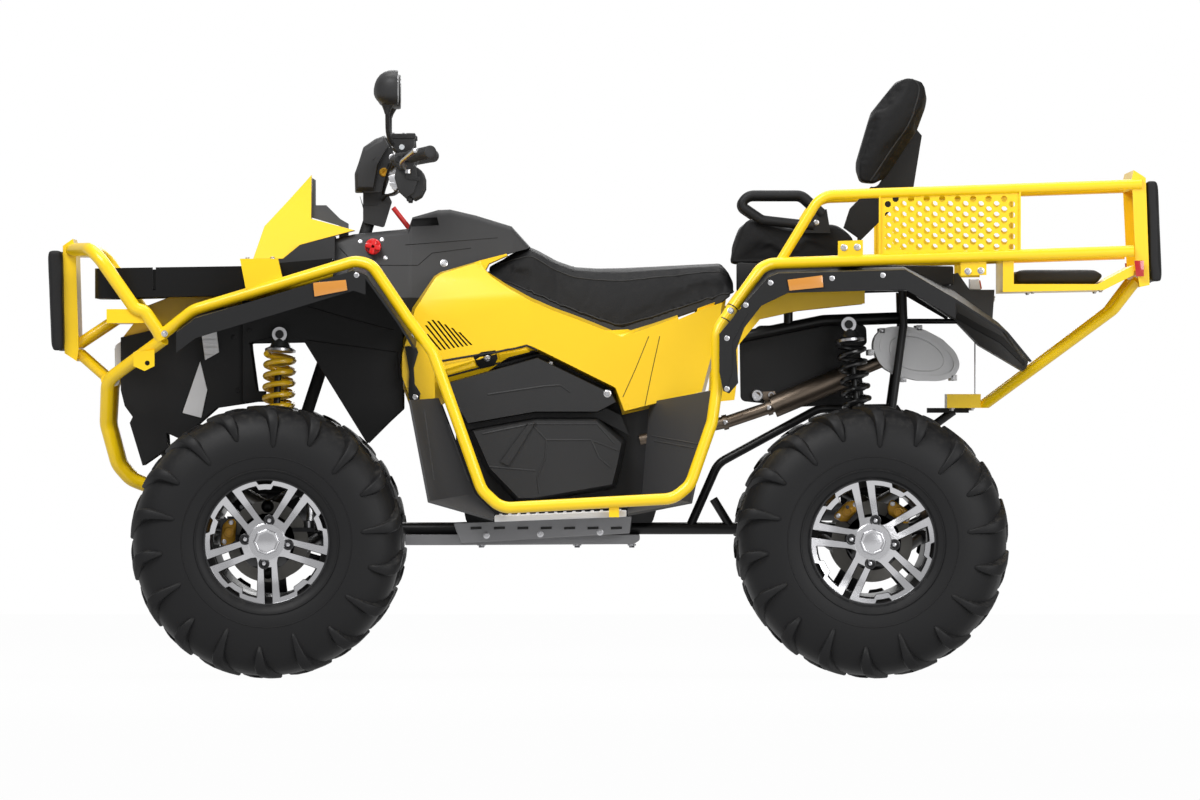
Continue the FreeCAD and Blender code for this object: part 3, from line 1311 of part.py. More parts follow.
def guard_nodes(frame, body):
    nodes = {}
    trims = [body[name][0] for name in ("front_bumper", "footboards", "pillion")]
    guard = main_solid(guard_shape().cut(Part.makeCompound(trims)))
    guards = Part.makeCompound([guard, mirrored(guard)])
    rear_rack = rear_rack_shape().cut(guards)
    panel = perforated_panel().cut(guards).cut(rear_rack)
    front_fender = fender(front_fender_outer_px, front_fender_inner_px, liner_y + panel_wall + gap, 0, 6)
    rear_fender = fender(rear_fender_outer_px, rear_fender_inner_px, deck_half_width + gap, 1, 5)
    rear_fender = joined([rear_fender, rear_trim()])
    shelf = slab(shelf_px, rack_half_width).cut(guards).cut(rear_rack)
    lower_frame = lower_frame_shape().cut(rear_rack).cut(shelf)
    nodes["side_guard_left"] = [guard]
    nodes["side_guard_right"] = [mirrored(guard)]
    nodes["front_fenders"] = both_sides([main_solid(front_fender.cut(guard).cut(body["side_panel_left"][0]))])
    nodes["rear_fenders"] = both_sides([main_solid(rear_fender.cut(guard).cut(body["footwells"][1]))])
    nodes["rear_rack"] = [rear_rack]
    nodes["rack_panels"] = both_sides([panel])
    nodes["rear_shelf"] = [shelf]
    nodes["shelf_pad"] = [slab(shelf_pad_px, shelf_pad_half_width, pad_corner).cut(shelf)]
    nodes["rear_frame"] = [lower_frame]
    nodes["hitch"] = [hitch_shape().cut(frame)]
    nodes["lamps"] = lamp_shapes()
    nodes["reflectors"] = reflector_shapes()
    return nodes


def part_nodes():
    nodes = {}
    frame = frame_shape()
    body = body_nodes(frame)
    carried = Part.makeCompound([body[name][0] for name in ("front_rack", "console", "seat", "pillion")])
    frame = frame.cut(carried)
    nodes["frame"] = [frame]
    nodes.update(body)
    nodes.update(guard_nodes(frame, body))
    nodes["differentials"] = [differential(front_axle_x, 1), differential(rear_axle_x, -1)]
    nodes["front_arms"] = arm_set(front_axle_x, kingpin_y)
    nodes["rear_arms"] = arm_set(rear_axle_x, rear_hub_y)
    nodes["rear_hubs"] = both_sides([rear_hub_shape()])
    nodes["half_shafts"] = both_sides([half_shaft(front_axle_x, kingpin_y), half_shaft(rear_axle_x, rear_hub_y)])
    nodes["front_shocks"] = both_sides([shock(front_axle_x, shock_foot_offset, kingpin_y, front_shock_top_px)])
    nodes["rear_shocks"] = both_sides([shock(rear_axle_x, -shock_foot_offset, rear_hub_y, rear_shock_top_px)])
    nodes.update(steering_nodes())
    nodes["knuckle_left"] = [knuckle_shape()]
    nodes["knuckle_right"] = [mirrored(knuckle_shape())]
    nodes["tie_rod_left"] = [tie_rod_shape()]
    nodes["tie_rod_right"] = [mirrored(tie_rod_shape())]
    for name, side in (("left", -1), ("right", 1)):
        tyre, rim = wheel_shapes(front_tyre_width, front_wheel_y, front_axle_px, side, front_spoke_angle,
                                 front_disc_y)
        nodes["tyre_front_" + name] = [tyre]
        nodes["rim_front_" + name] = [rim]
        tyre, rim = wheel_shapes(rear_tyre_width, rear_wheel_y, rear_axle_px, side, rear_spoke_angle, rear_disc_y)
        nodes["tyre_rear_" + name] = [tyre]
        nodes["rim_rear_" + name] = [rim]
    return nodes


def main():
    os.makedirs("parts", exist_ok=True)
    for name, shapes in part_nodes().items():
        shape = shapes[0] if len(shapes) == 1 else Part.makeCompound(shapes)
        shape.exportStep("parts/" + name + ".step")


if __name__ == "__main__":
    main()
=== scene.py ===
"""Looks of a long two-seat quad bike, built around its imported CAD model."""

import json
import math

import bmesh
import bpy
from bpy.props import FloatProperty, FloatVectorProperty, IntProperty, PointerProperty
from mathutils import Matrix, Vector
from mathutils.bvhtree import BVHTree


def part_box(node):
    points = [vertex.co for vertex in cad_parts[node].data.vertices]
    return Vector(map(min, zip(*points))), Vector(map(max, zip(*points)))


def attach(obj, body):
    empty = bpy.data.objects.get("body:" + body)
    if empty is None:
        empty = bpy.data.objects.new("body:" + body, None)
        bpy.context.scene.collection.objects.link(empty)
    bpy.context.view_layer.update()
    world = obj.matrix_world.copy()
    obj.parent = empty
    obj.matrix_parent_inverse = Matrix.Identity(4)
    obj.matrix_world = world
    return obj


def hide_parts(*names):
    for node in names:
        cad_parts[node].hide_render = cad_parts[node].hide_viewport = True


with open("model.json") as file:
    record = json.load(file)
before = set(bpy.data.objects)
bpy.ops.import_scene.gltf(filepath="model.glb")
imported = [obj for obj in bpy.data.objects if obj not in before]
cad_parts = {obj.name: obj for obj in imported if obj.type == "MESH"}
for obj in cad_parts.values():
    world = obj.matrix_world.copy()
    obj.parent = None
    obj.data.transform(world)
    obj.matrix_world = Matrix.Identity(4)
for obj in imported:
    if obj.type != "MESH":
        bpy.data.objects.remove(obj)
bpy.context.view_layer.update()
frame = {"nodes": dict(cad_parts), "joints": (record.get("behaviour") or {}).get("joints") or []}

bl_info = {
    "name": "Quad bike looks",
    "version": (1, 0, 0),
    "blender": (4, 5, 0),
    "location": "View3D > Sidebar > Quad bike",
    "description": "Finishes and detailed pieces of a long quad bike around its CAD model",
    "category": "Object",
}

# Side view scale of the photograph, tied to the two axles of the model
joint_at = {joint["name"]: Vector(joint["pos_m"]) for joint in frame["joints"]}
FRONT_AXLE = joint_at["front_axle_left"]
REAR_AXLE = joint_at["rear_axle_left"]
FRONT_AXLE_PX = (267.3, 541.7)
REAR_AXLE_PX = (872.3, 541.7)
METRES_PER_PX = (REAR_AXLE.x - FRONT_AXLE.x) / (REAR_AXLE_PX[0] - FRONT_AXLE_PX[0])
SIDES = (("left", -1), ("right", 1))


def at(px, py, y=0.0):
    """Point of the model at a place in the photograph, on a plane across the vehicle."""
    x = FRONT_AXLE.x + (px - FRONT_AXLE_PX[0]) * METRES_PER_PX
    z = FRONT_AXLE.z + (FRONT_AXLE_PX[1] - py) * METRES_PER_PX
    return Vector((x, y, z))


def paint(red, green, blue):
    """Linear colour from the usual 0 to 255 values."""
    def linear(value):
        value /= 255
        return value / 12.92 if value <= 0.04045 else ((value + 0.055) / 1.055) ** 2.4
    return (linear(red), linear(green), linear(blue))


def colour_property(name, description, rgb):
    """Setting for a colour, with its usual value."""
    return FloatVectorProperty(name=name, description=description, default=paint(*rgb), size=3,
                               subtype="COLOR", min=0.0, max=1.0)


def length_property(name, description, default):
    """Setting for a length, with its usual value in metres."""
    return FloatProperty(name=name, description=description, default=default, min=0.0, unit="LENGTH")


class QuadColours(bpy.types.PropertyGroup):
    """Colours that a user may change."""
    body_yellow: colour_property("Body yellow", "Gloss plastic of the side panels and cowl", (255, 208, 24))
    tube_yellow: colour_property("Tube yellow", "Powder coat of the guards and racks", (255, 212, 14))
    trim_black: colour_property("Trim black", "Moulded plastic of fenders and liners", (22, 22, 23))
    console_grey: colour_property("Console grey", "Moulded plastic of the console and footwells",
                                  (52, 52, 53))
    frame_black: colour_property("Frame black", "Paint of the frame and arms", (18, 18, 19))
    seat_black: colour_property("Seat black", "Grained cover of seat and backrest", (25, 25, 26))
    tyre_black: colour_property("Tyre black", "Rubber of the tyres", (27, 27, 28))
    metal: colour_property("Bare metal", "Machined faces, bolts and silencer", (205, 205, 208))
    caliper_gold: colour_property("Caliper gold", "Paint of the brake calipers", (190, 140, 30))
    spring_yellow: colour_property("Spring yellow", "Paint of the front springs", (255, 205, 30))


class QuadSizes(bpy.types.PropertyGroup):
    """Sizes that a user may change."""
    lug_count: IntProperty(name="Lugs", description="Tread lugs on each side of a tyre", default=18, min=8,
                           max=30)
    lug_height: length_property("Lug height", "How far the tread stands off the carcass", 0.017)
    seat_swell: length_property("Seat swell", "Most that the seat's foam may swell", 0.006)
    backrest_swell: length_property("Backrest swell", "Most that the backrest's foam may swell", 0.010)
    pad_swell: length_property("Pad swell", "Most that the rubber pads may swell", 0.003)
    spring_wire: length_property("Spring wire", "Thickness of the spring wire", 0.0135)


# Mesh helpers

def absorb(bm, part, material=None):
    """Moves the geometry of one part into another and empties it."""
    if material is not None:
        for face in part.faces:
            face.material_index = material
    mesh = bpy.data.meshes.new("part")
    part.to_mesh(mesh)
    part.free()
    bm.from_mesh(mesh)
    bpy.data.meshes.remove(mesh)
    return bm


def together(parts):
    """One part from several, or from pairs of a part and its material number."""
    bm = bmesh.new()
    for part in parts:
        if isinstance(part, tuple):
            absorb(bm, part[0], part[1])
        else:
            absorb(bm, part)
    return bm


def mirrored(bm):
    """A copy of the part on the other side of the centre plane."""
    copy = bm.copy()
    for vert in copy.verts:
        vert.co.y = -vert.co.y
    bmesh.ops.reverse_faces(copy, faces=copy.faces)
    return copy


def rounded_edges(bm, width, segments=2, angle=30.0):
    """Rounds the edges of a part that are sharper than an angle."""
    bm.normal_update()
    limit = math.radians(angle)
    edges = [e for e in bm.edges if len(e.link_faces) == 2 and e.calc_face_angle(0.0) > limit]
    if edges and width > 0:
        bmesh.ops.bevel(bm, geom=edges, offset=width, segments=segments, profile=0.6, affect="EDGES",
                        clamp_overlap=True)
    return bm


def loft(rings, cap=True):
    """Surface through rings of points."""
    bm = bmesh.new()
    rows = [[bm.verts.new(p) for p in ring] for ring in rings]
    count = len(rings[0])
    for first, second in zip(rows, rows[1:]):
        for i in range(count):
            j = (i + 1) % count
            bm.faces.new((first[i], first[j], second[j], second[i]))
    if cap:
        bm.faces.new(rows[0][::-1])
        bm.faces.new(rows[-1])
    bmesh.ops.recalc_face_normals(bm, faces=bm.faces)
    return bm


def outline_block(outline_px, y_from, y_to, edge=0.0, segments=2):
    """Block with a side view outline taken from the photograph, between two planes."""
    bm = loft([[at(px, py, y) for px, py in outline_px] for y in (y_from, y_to)])
    return rounded_edges(bm, edge, segments)


def side_block(outline_px, side, near, far, edge=0.0, segments=2):
    """Block on one side of the vehicle, between two distances from its middle."""
    return outline_block(outline_px, *sorted((side * near, side * far)), edge, segments)


def scaled(outline_px, middle_px, wide, tall):
    """Outline of the photograph made larger or smaller about its middle."""
    mid_x, mid_y = middle_px
    return [(mid_x + (px - mid_x) * wide, mid_y + (py - mid_y) * tall) for px, py in outline_px]


def block(low, high, edge=0.0, segments=2):
    """Box between two corners, with rounded edges."""
    ring = [(low[0], low[2]), (high[0], low[2]), (high[0], high[2]), (low[0], high[2])]
    bm = loft([[Vector((x, y, z)) for x, z in ring] for y in (low[1], high[1])])
    return rounded_edges(bm, edge, segments)


def turn_to(axis):
    """Turn that brings the upward axis to another."""
    return Vector((0, 0, 1)).rotation_difference(Vector(axis).normalized())


def ring_point(turn, centre, radius, along, angle):
    """Point of a ring about an axis."""
    return turn @ Vector((radius * math.cos(angle), radius * math.sin(angle), along)) + Vector(centre)


def lathe(profile, centre, axis, steps=32, closed=False):
    """Turned part from points of place along the axis and radius."""
    turn = turn_to(axis)
    rings = []
    for along, radius in profile:
        rings.append([ring_point(turn, centre, radius, along, 2 * math.pi * i / steps) for i in range(steps)])
    if closed:
        return loft(rings + [rings[0]], cap=False)
    return loft(rings)


def through(points, steps=6):
    """Smooth line through the given points."""
    line = []
    for i in range(len(points) - 1):
        before = points[max(i - 1, 0)]
        here = points[i]
        there = points[i + 1]
        after = points[min(i + 2, len(points) - 1)]
        for k in range(steps):
            t = k / steps
            square = 2 * before - 5 * here + 4 * there - after
            cube = 3 * here - before - 3 * there + after
            line.append(0.5 * ((2 * here) + (there - before) * t + square * t ** 2 + cube * t ** 3))
    line.append(points[-1])
    return line


def rounded_line(points, reach, steps=6):
    """Line through points whose corners are rounded over a distance each way."""
    line = [points[0]]
    for before, corner, after in zip(points, points[1:], points[2:]):
        start = corner + (before - corner).normalized() * min(reach, (before - corner).length * 0.49)
        stop = corner + (after - corner).normalized() * min(reach, (after - corner).length * 0.49)
        for k in range(steps + 1):
            t = k / steps
            line.append(start * (1 - t) ** 2 + corner * 2 * t * (1 - t) + stop * t ** 2)
    line.append(points[-1])
    return line


def sweep(line, radius, sides=12, closed=False):
    """Round bar along a line, with one radius or one for each point."""
    radii = radius if isinstance(radius, list) else [radius] * len(line)
    rings = []
    normal = None
    count = len(line)
    for i, here in enumerate(line):
        if closed:
            run = line[(i + 1) % count] - line[i - 1]
        else:
            run = line[min(i + 1, count - 1)] - line[max(i - 1, 0)]
        run = run.normalized()
        if normal is None:
            normal = run.orthogonal().normalized()
        normal = (normal - run * normal.dot(run)).normalized()
        side = run.cross(normal)
        ring = []
        for k in range(sides):
            angle = 2 * math.pi * k / sides
            ring.append(here + (normal * math.cos(angle) + side * math.sin(angle)) * radii[i])
        rings.append(ring)
    if closed:
        return loft(rings + [rings[0]], cap=False)
    return loft(rings)


def bolt(centre, axis, size, washer=True):
    """Flanged hexagon bolt head that stands on a surface."""
    parts = []
    turn = turn_to(axis)
    if washer:
        parts.append(lathe([(-0.001, size * 1.35), (size * 0.16, size * 1.35), (size * 0.24, size * 1.15)],
                           centre, axis, 20))
    rings = []
    for along, radius in ((-0.001, size), (size * 0.75, size), (size * 0.9, size * 0.84),
                          (size * 0.9, size * 0.3), (size * 0.78, size * 0.2)):
        rings.append([ring_point(turn, centre, radius, along, math.pi * i / 3) for i in range(6)])
    parts.append(loft(rings))
    return together(parts)


def skin_of(*names):
    """Search tree over the surfaces of some CAD pieces."""
    skin = bmesh.new()
    for name in names:
        skin.from_mesh(frame["nodes"][name].data)
    tree = BVHTree.FromBMesh(skin)
    skin.free()
    return tree


def on_skin(tree, px, py, side, lift=0.0):
    """Place on the outer side of a surface at a point of the photograph, and the way it faces there."""
    spot, normal, index, distance = tree.ray_cast(at(px, py, side * 2.0), Vector((0, -side, 0)))
    if spot is None:
        raise RuntimeError("no surface at %.1f, %.1f" % (px, py))
    if normal.y * side < 0:
        normal = -normal
    return spot + normal * lift, normal


def line_on(tree, points_px, side, lift=0.0, step=2.5):
    """Line of the photograph laid on a surface."""
    places = []
    for (ax, ay), (bx, by) in zip(points_px, points_px[1:]):
        count = max(int(math.hypot(bx - ax, by - ay) / step), 1)
        places += [(ax + (bx - ax) * k / count, ay + (by - ay) * k / count) for k in range(count)]
    places.append(points_px[-1])
    return [on_skin(tree, px, py, side, lift)[0] for px, py in places]


def bolts_on(tree, places_px, side, size):
    """Bolt heads that stand on a surface at places of the photograph."""
    heads = []
    for px, py in places_px:
        spot, normal = on_skin(tree, px, py, side)
        heads.append(bolt(spot, normal, size))
    return together(heads)


def plate_on(tree, outline_px, side, thickness, edge=0.0006):
    """Thin plate that follows a surface within an outline of the photograph."""
    outer = []
    inner = []
    for px, py in outline_px:
        spot, normal = on_skin(tree, px, py, side)
        outer.append(spot + normal * thickness)
        inner.append(spot - normal * 0.002)
    return rounded_edges(loft([inner, outer]), edge, 1)


def show(name, bm, body, materials, sharp=38.0, replaces=()):
    """Makes a piece of the part, at home on a body and in a material slot of the record."""
    mesh = bpy.data.meshes.new(name)
    bmesh.ops.remove_doubles(bm, verts=bm.verts, dist=1e-6)
    bm.to_mesh(mesh)
    bm.free()
    piece = bpy.data.objects.new(name, mesh)
    bpy.context.scene.collection.objects.link(piece)
    for material in materials:
        mesh.materials.append(material)
    mesh.polygons.foreach_set("use_smooth", [True] * len(mesh.polygons))
    mesh.set_sharp_from_angle(angle=math.radians(sharp))
    if body:
        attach(piece, body)
    if replaces:
        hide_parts(*replaces)
    return piece


# Node helpers and the groups that the finishes share

def connect(tree, source, target):
    """Link from an output to an input."""
    tree.links.new(source, target)


def add_node(tree, kind, inputs=None, **settings):
    """Node with its settings, and its inputs given as values or as sockets to link."""
    node = tree.nodes.new(kind)
    for key, value in settings.items():
        setattr(node, key, value)
    for key, value in (inputs or {}).items():
        if isinstance(value, bpy.types.NodeSocket):
            connect(tree, value, node.inputs[key])
        else:
            node.inputs[key].default_value = value
    return node


def start_group(name, inputs, outputs):
    """Empty shared group with its sockets."""
    tree = bpy.data.node_groups.new(name, "ShaderNodeTree")
    for label, kind, default in inputs:
        socket = tree.interface.new_socket(label, in_out="INPUT", socket_type=kind)
        if default is not None:
            socket.default_value = default
    for label, kind in outputs:
        tree.interface.new_socket(label, in_out="OUTPUT", socket_type=kind)
    return tree, tree.nodes.new("NodeGroupInput"), tree.nodes.new("NodeGroupOutput")


def maths(tree, operation, first, second=None, clamp=False):
    """Result of a calculation with one or two values."""
    inputs = {0: first}
    if second is not None:
        inputs[1] = second
    return add_node(tree, "ShaderNodeMath", inputs, operation=operation, use_clamp=clamp).outputs[0]


def ramp(tree, value, low, high):
    """Smooth step of a value between two limits."""
    node = add_node(tree, "ShaderNodeMapRange", {"Value": value, "From Min": low, "From Max": high},
                    interpolation_type="SMOOTHSTEP")
    return node.outputs["Result"]


def mix_colour(tree, factor, first, second):
    """Mix of two colours."""
    node = add_node(tree, "ShaderNodeMix", data_type="RGBA", blend_type="MIX")
    for socket, value in zip((node.inputs[0], node.inputs[6], node.inputs[7]), (factor, first, second)):
        if isinstance(value, bpy.types.NodeSocket):
            connect(tree, value, socket)
        else:
            socket.default_value = value
    return node.outputs[2]


def grain_group():
    """Fine moulded or leather-like grain as a height."""
    tree, start, end = start_group(
        "Moulded grain",
        [("Vector", "NodeSocketVector", None), ("Scale", "NodeSocketFloat", 700.0),
         ("Pebble", "NodeSocketFloat", 0.6)],
        [("Height", "NodeSocketFloat")])
    place = start.outputs["Vector"]
    scale = start.outputs["Scale"]
    cells = add_node(tree, "ShaderNodeTexVoronoi", {"Vector": place, "Scale": scale, "Smoothness": 0.6},
                     feature="SMOOTH_F1")
    fine_scale = maths(tree, "MULTIPLY", scale, 0.7)
    fine = add_node(tree, "ShaderNodeTexNoise", {"Vector": place, "Scale": fine_scale, "Detail": 3.0})
    height = mix_colour(tree, start.outputs["Pebble"], fine.outputs["Fac"], cells.outputs["Distance"])
    connect(tree, height, end.inputs["Height"])
    return tree


def drift_group():
    """Slow change of tone over a surface with a little dust where it settles."""
    tree, start, end = start_group(
        "Tone drift",
        [("Vector", "NodeSocketVector", None), ("Colour", "NodeSocketColor", (0.5, 0.5, 0.5, 1)),
         ("Dust", "NodeSocketColor", (0.35, 0.32, 0.28, 1)), ("Scale", "NodeSocketFloat", 3.0),
         ("Amount", "NodeSocketFloat", 0.1), ("Dust Amount", "NodeSocketFloat", 0.05),
         ("Roughness", "NodeSocketFloat", 0.4)],
        [("Colour", "NodeSocketColor"), ("Roughness", "NodeSocketFloat")])
    slow = add_node(tree, "ShaderNodeTexNoise", {"Vector": start.outputs["Vector"],
                                                 "Scale": start.outputs["Scale"], "Detail": 5.0,
                                                 "Roughness": 0.6})
    swing = maths(tree, "MULTIPLY", maths(tree, "SUBTRACT", slow.outputs["Fac"], 0.5),
                  start.outputs["Amount"])
    factor = maths(tree, "ADD", maths(tree, "MULTIPLY", swing, 2.0), 1.0)
    toned = add_node(tree, "ShaderNodeVectorMath", {0: start.outputs["Colour"], "Scale": factor},
                     operation="SCALE")
    speck = add_node(tree, "ShaderNodeTexNoise", {"Vector": start.outputs["Vector"], "Scale": 55.0,
                                                  "Detail": 6.0, "Roughness": 0.7})
    normal = add_node(tree, "ShaderNodeNewGeometry")
    up = add_node(tree, "ShaderNodeSeparateXYZ", {0: normal.outputs["Normal"]})
    facing = ramp(tree, up.outputs["Z"], 0.1, 0.95)
    dusty = maths(tree, "MULTIPLY", ramp(tree, speck.outputs["Fac"], 0.42, 0.75), facing)
    dusty = maths(tree, "MULTIPLY", dusty, start.outputs["Dust Amount"], clamp=True)
    connect(tree, mix_colour(tree, dusty, toned.outputs[0], start.outputs["Dust"]), end.inputs["Colour"])
    rough = maths(tree, "ADD", start.outputs["Roughness"], maths(tree, "MULTIPLY", swing, 0.8))
    rough = maths(tree, "ADD", rough, maths(tree, "MULTIPLY", dusty, 0.5), clamp=True)
    connect(tree, rough, end.inputs["Roughness"])
    return tree


def rub_group():
    """Mask of the edges where hands and boots rub the finish away."""
    tree, start, end = start_group(
        "Rubbed edges",
        [("Vector", "NodeSocketVector", None), ("Radius", "NodeSocketFloat", 0.003),
         ("Amount", "NodeSocketFloat", 0.5)],
        [("Mask", "NodeSocketFloat")])
    soft = add_node(tree, "ShaderNodeBevel", {"Radius": start.outputs["Radius"]}, samples=4)
    hard = add_node(tree, "ShaderNodeNewGeometry")
    same = add_node(tree, "ShaderNodeVectorMath", {0: soft.outputs[0], 1: hard.outputs["Normal"]},
                    operation="DOT_PRODUCT")
    edge = ramp(tree, maths(tree, "SUBTRACT", 1.0, same.outputs["Value"]), 0.02, 0.2)
    patch = add_node(tree, "ShaderNodeTexNoise", {"Vector": start.outputs["Vector"], "Scale": 38.0,
                                                  "Detail": 5.0})
    mask = maths(tree, "MULTIPLY", edge, ramp(tree, patch.outputs["Fac"], 0.5, 0.66))
    connect(tree, maths(tree, "MULTIPLY", mask, start.outputs["Amount"], clamp=True), end.inputs["Mask"])
    return tree


def brush_group():
    """Fine lines of turned or brushed metal as a height."""
    tree, start, end = start_group(
        "Brushed lines",
        [("Vector", "NodeSocketVector", None), ("Scale", "NodeSocketFloat", 400.0),
         ("Stretch", "NodeSocketVector", (0.04, 1.0, 1.0))],
        [("Height", "NodeSocketFloat")])
    long = add_node(tree, "ShaderNodeVectorMath", {0: start.outputs["Vector"], 1: start.outputs["Stretch"]},
                    operation="MULTIPLY")
    lines = add_node(tree, "ShaderNodeTexNoise", {"Vector": long.outputs[0], "Scale": start.outputs["Scale"],
                                                  "Detail": 4.0})
    connect(tree, lines.outputs["Fac"], end.inputs["Height"])
    return tree


def use_group(tree, name, place):
    """Node of a shared group that is laid out by the piece's own coordinates."""
    node = add_node(tree, "ShaderNodeGroup", node_tree=bpy.data.node_groups[name])
    connect(tree, place, node.inputs["Vector"])
    return node


def finish_material(name, colour, roughness, metallic=0.0, grain=0.0, grain_scale=700.0, pebble=0.6,
                    drift=0.06, drift_scale=3.0, dust=0.04, coat=0.0, rubbed=0.0,
                    rubbed_colour=(0.5, 0.5, 0.5), brushed=0.0, specular=0.5):
    """Finish with its own tone drift, grain, dust and worn edges."""
    material = bpy.data.materials.new(name)
    material.use_nodes = True
    tree = material.node_tree
    tree.nodes.clear()
    out = add_node(tree, "ShaderNodeOutputMaterial")
    shader = add_node(tree, "ShaderNodeBsdfPrincipled", {
        "Metallic": metallic, "Coat Weight": coat, "Coat Roughness": 0.08, "Specular IOR Level": specular})
    connect(tree, shader.outputs[0], out.inputs[0])
    place = add_node(tree, "ShaderNodeTexCoord").outputs["Object"]
    tone = use_group(tree, "Tone drift", place)
    for key, value in (("Colour", (*colour, 1)), ("Scale", drift_scale), ("Amount", drift),
                       ("Dust Amount", dust), ("Roughness", roughness)):
        tone.inputs[key].default_value = value
    result = tone.outputs["Colour"]
    if rubbed:
        worn = use_group(tree, "Rubbed edges", place)
        worn.inputs["Amount"].default_value = rubbed
        result = mix_colour(tree, worn.outputs["Mask"], result, (*rubbed_colour, 1))
    connect(tree, result, shader.inputs["Base Color"])
    connect(tree, tone.outputs["Roughness"], shader.inputs["Roughness"])
    height = None
    if grain:
        group = use_group(tree, "Moulded grain", place)
        group.inputs["Scale"].default_value = grain_scale
        group.inputs["Pebble"].default_value = pebble
        height = group.outputs["Height"]
    if brushed:
        height = use_group(tree, "Brushed lines", place).outputs["Height"]
    if height is not None:
        bump = add_node(tree, "ShaderNodeBump", {"Strength": grain or brushed, "Distance": 0.001,
                                                 "Height": height})
        connect(tree, bump.outputs[0], shader.inputs["Normal"])
    return material


def glow_material(name, colour, roughness, strength):
    """Lens with a little painted light of its own, a glow in a checker of prisms, so that it reads as clear
    plastic over a lit reflector.
    """
    material = finish_material(name, colour, roughness, coat=1.0, drift=0.03, dust=0.0)
    tree = material.node_tree
    shader = next(n for n in tree.nodes if n.type == "BSDF_PRINCIPLED")
    place = add_node(tree, "ShaderNodeTexCoord").outputs["Object"]
    # Painted glow: the checker of prisms feeds only the emission colour, standing in for light off the
    # reflector
    prism_glow = add_node(tree, "ShaderNodeTexChecker", {"Vector": place, "Scale": 260.0, "Color1": (*colour, 1),
                                                     "Color2": (*[c * 0.6 for c in colour], 1)})
    connect(tree, prism_glow.outputs["Color"], shader.inputs["Emission Color"])
    shader.inputs["Emission Strength"].default_value = strength
    return material


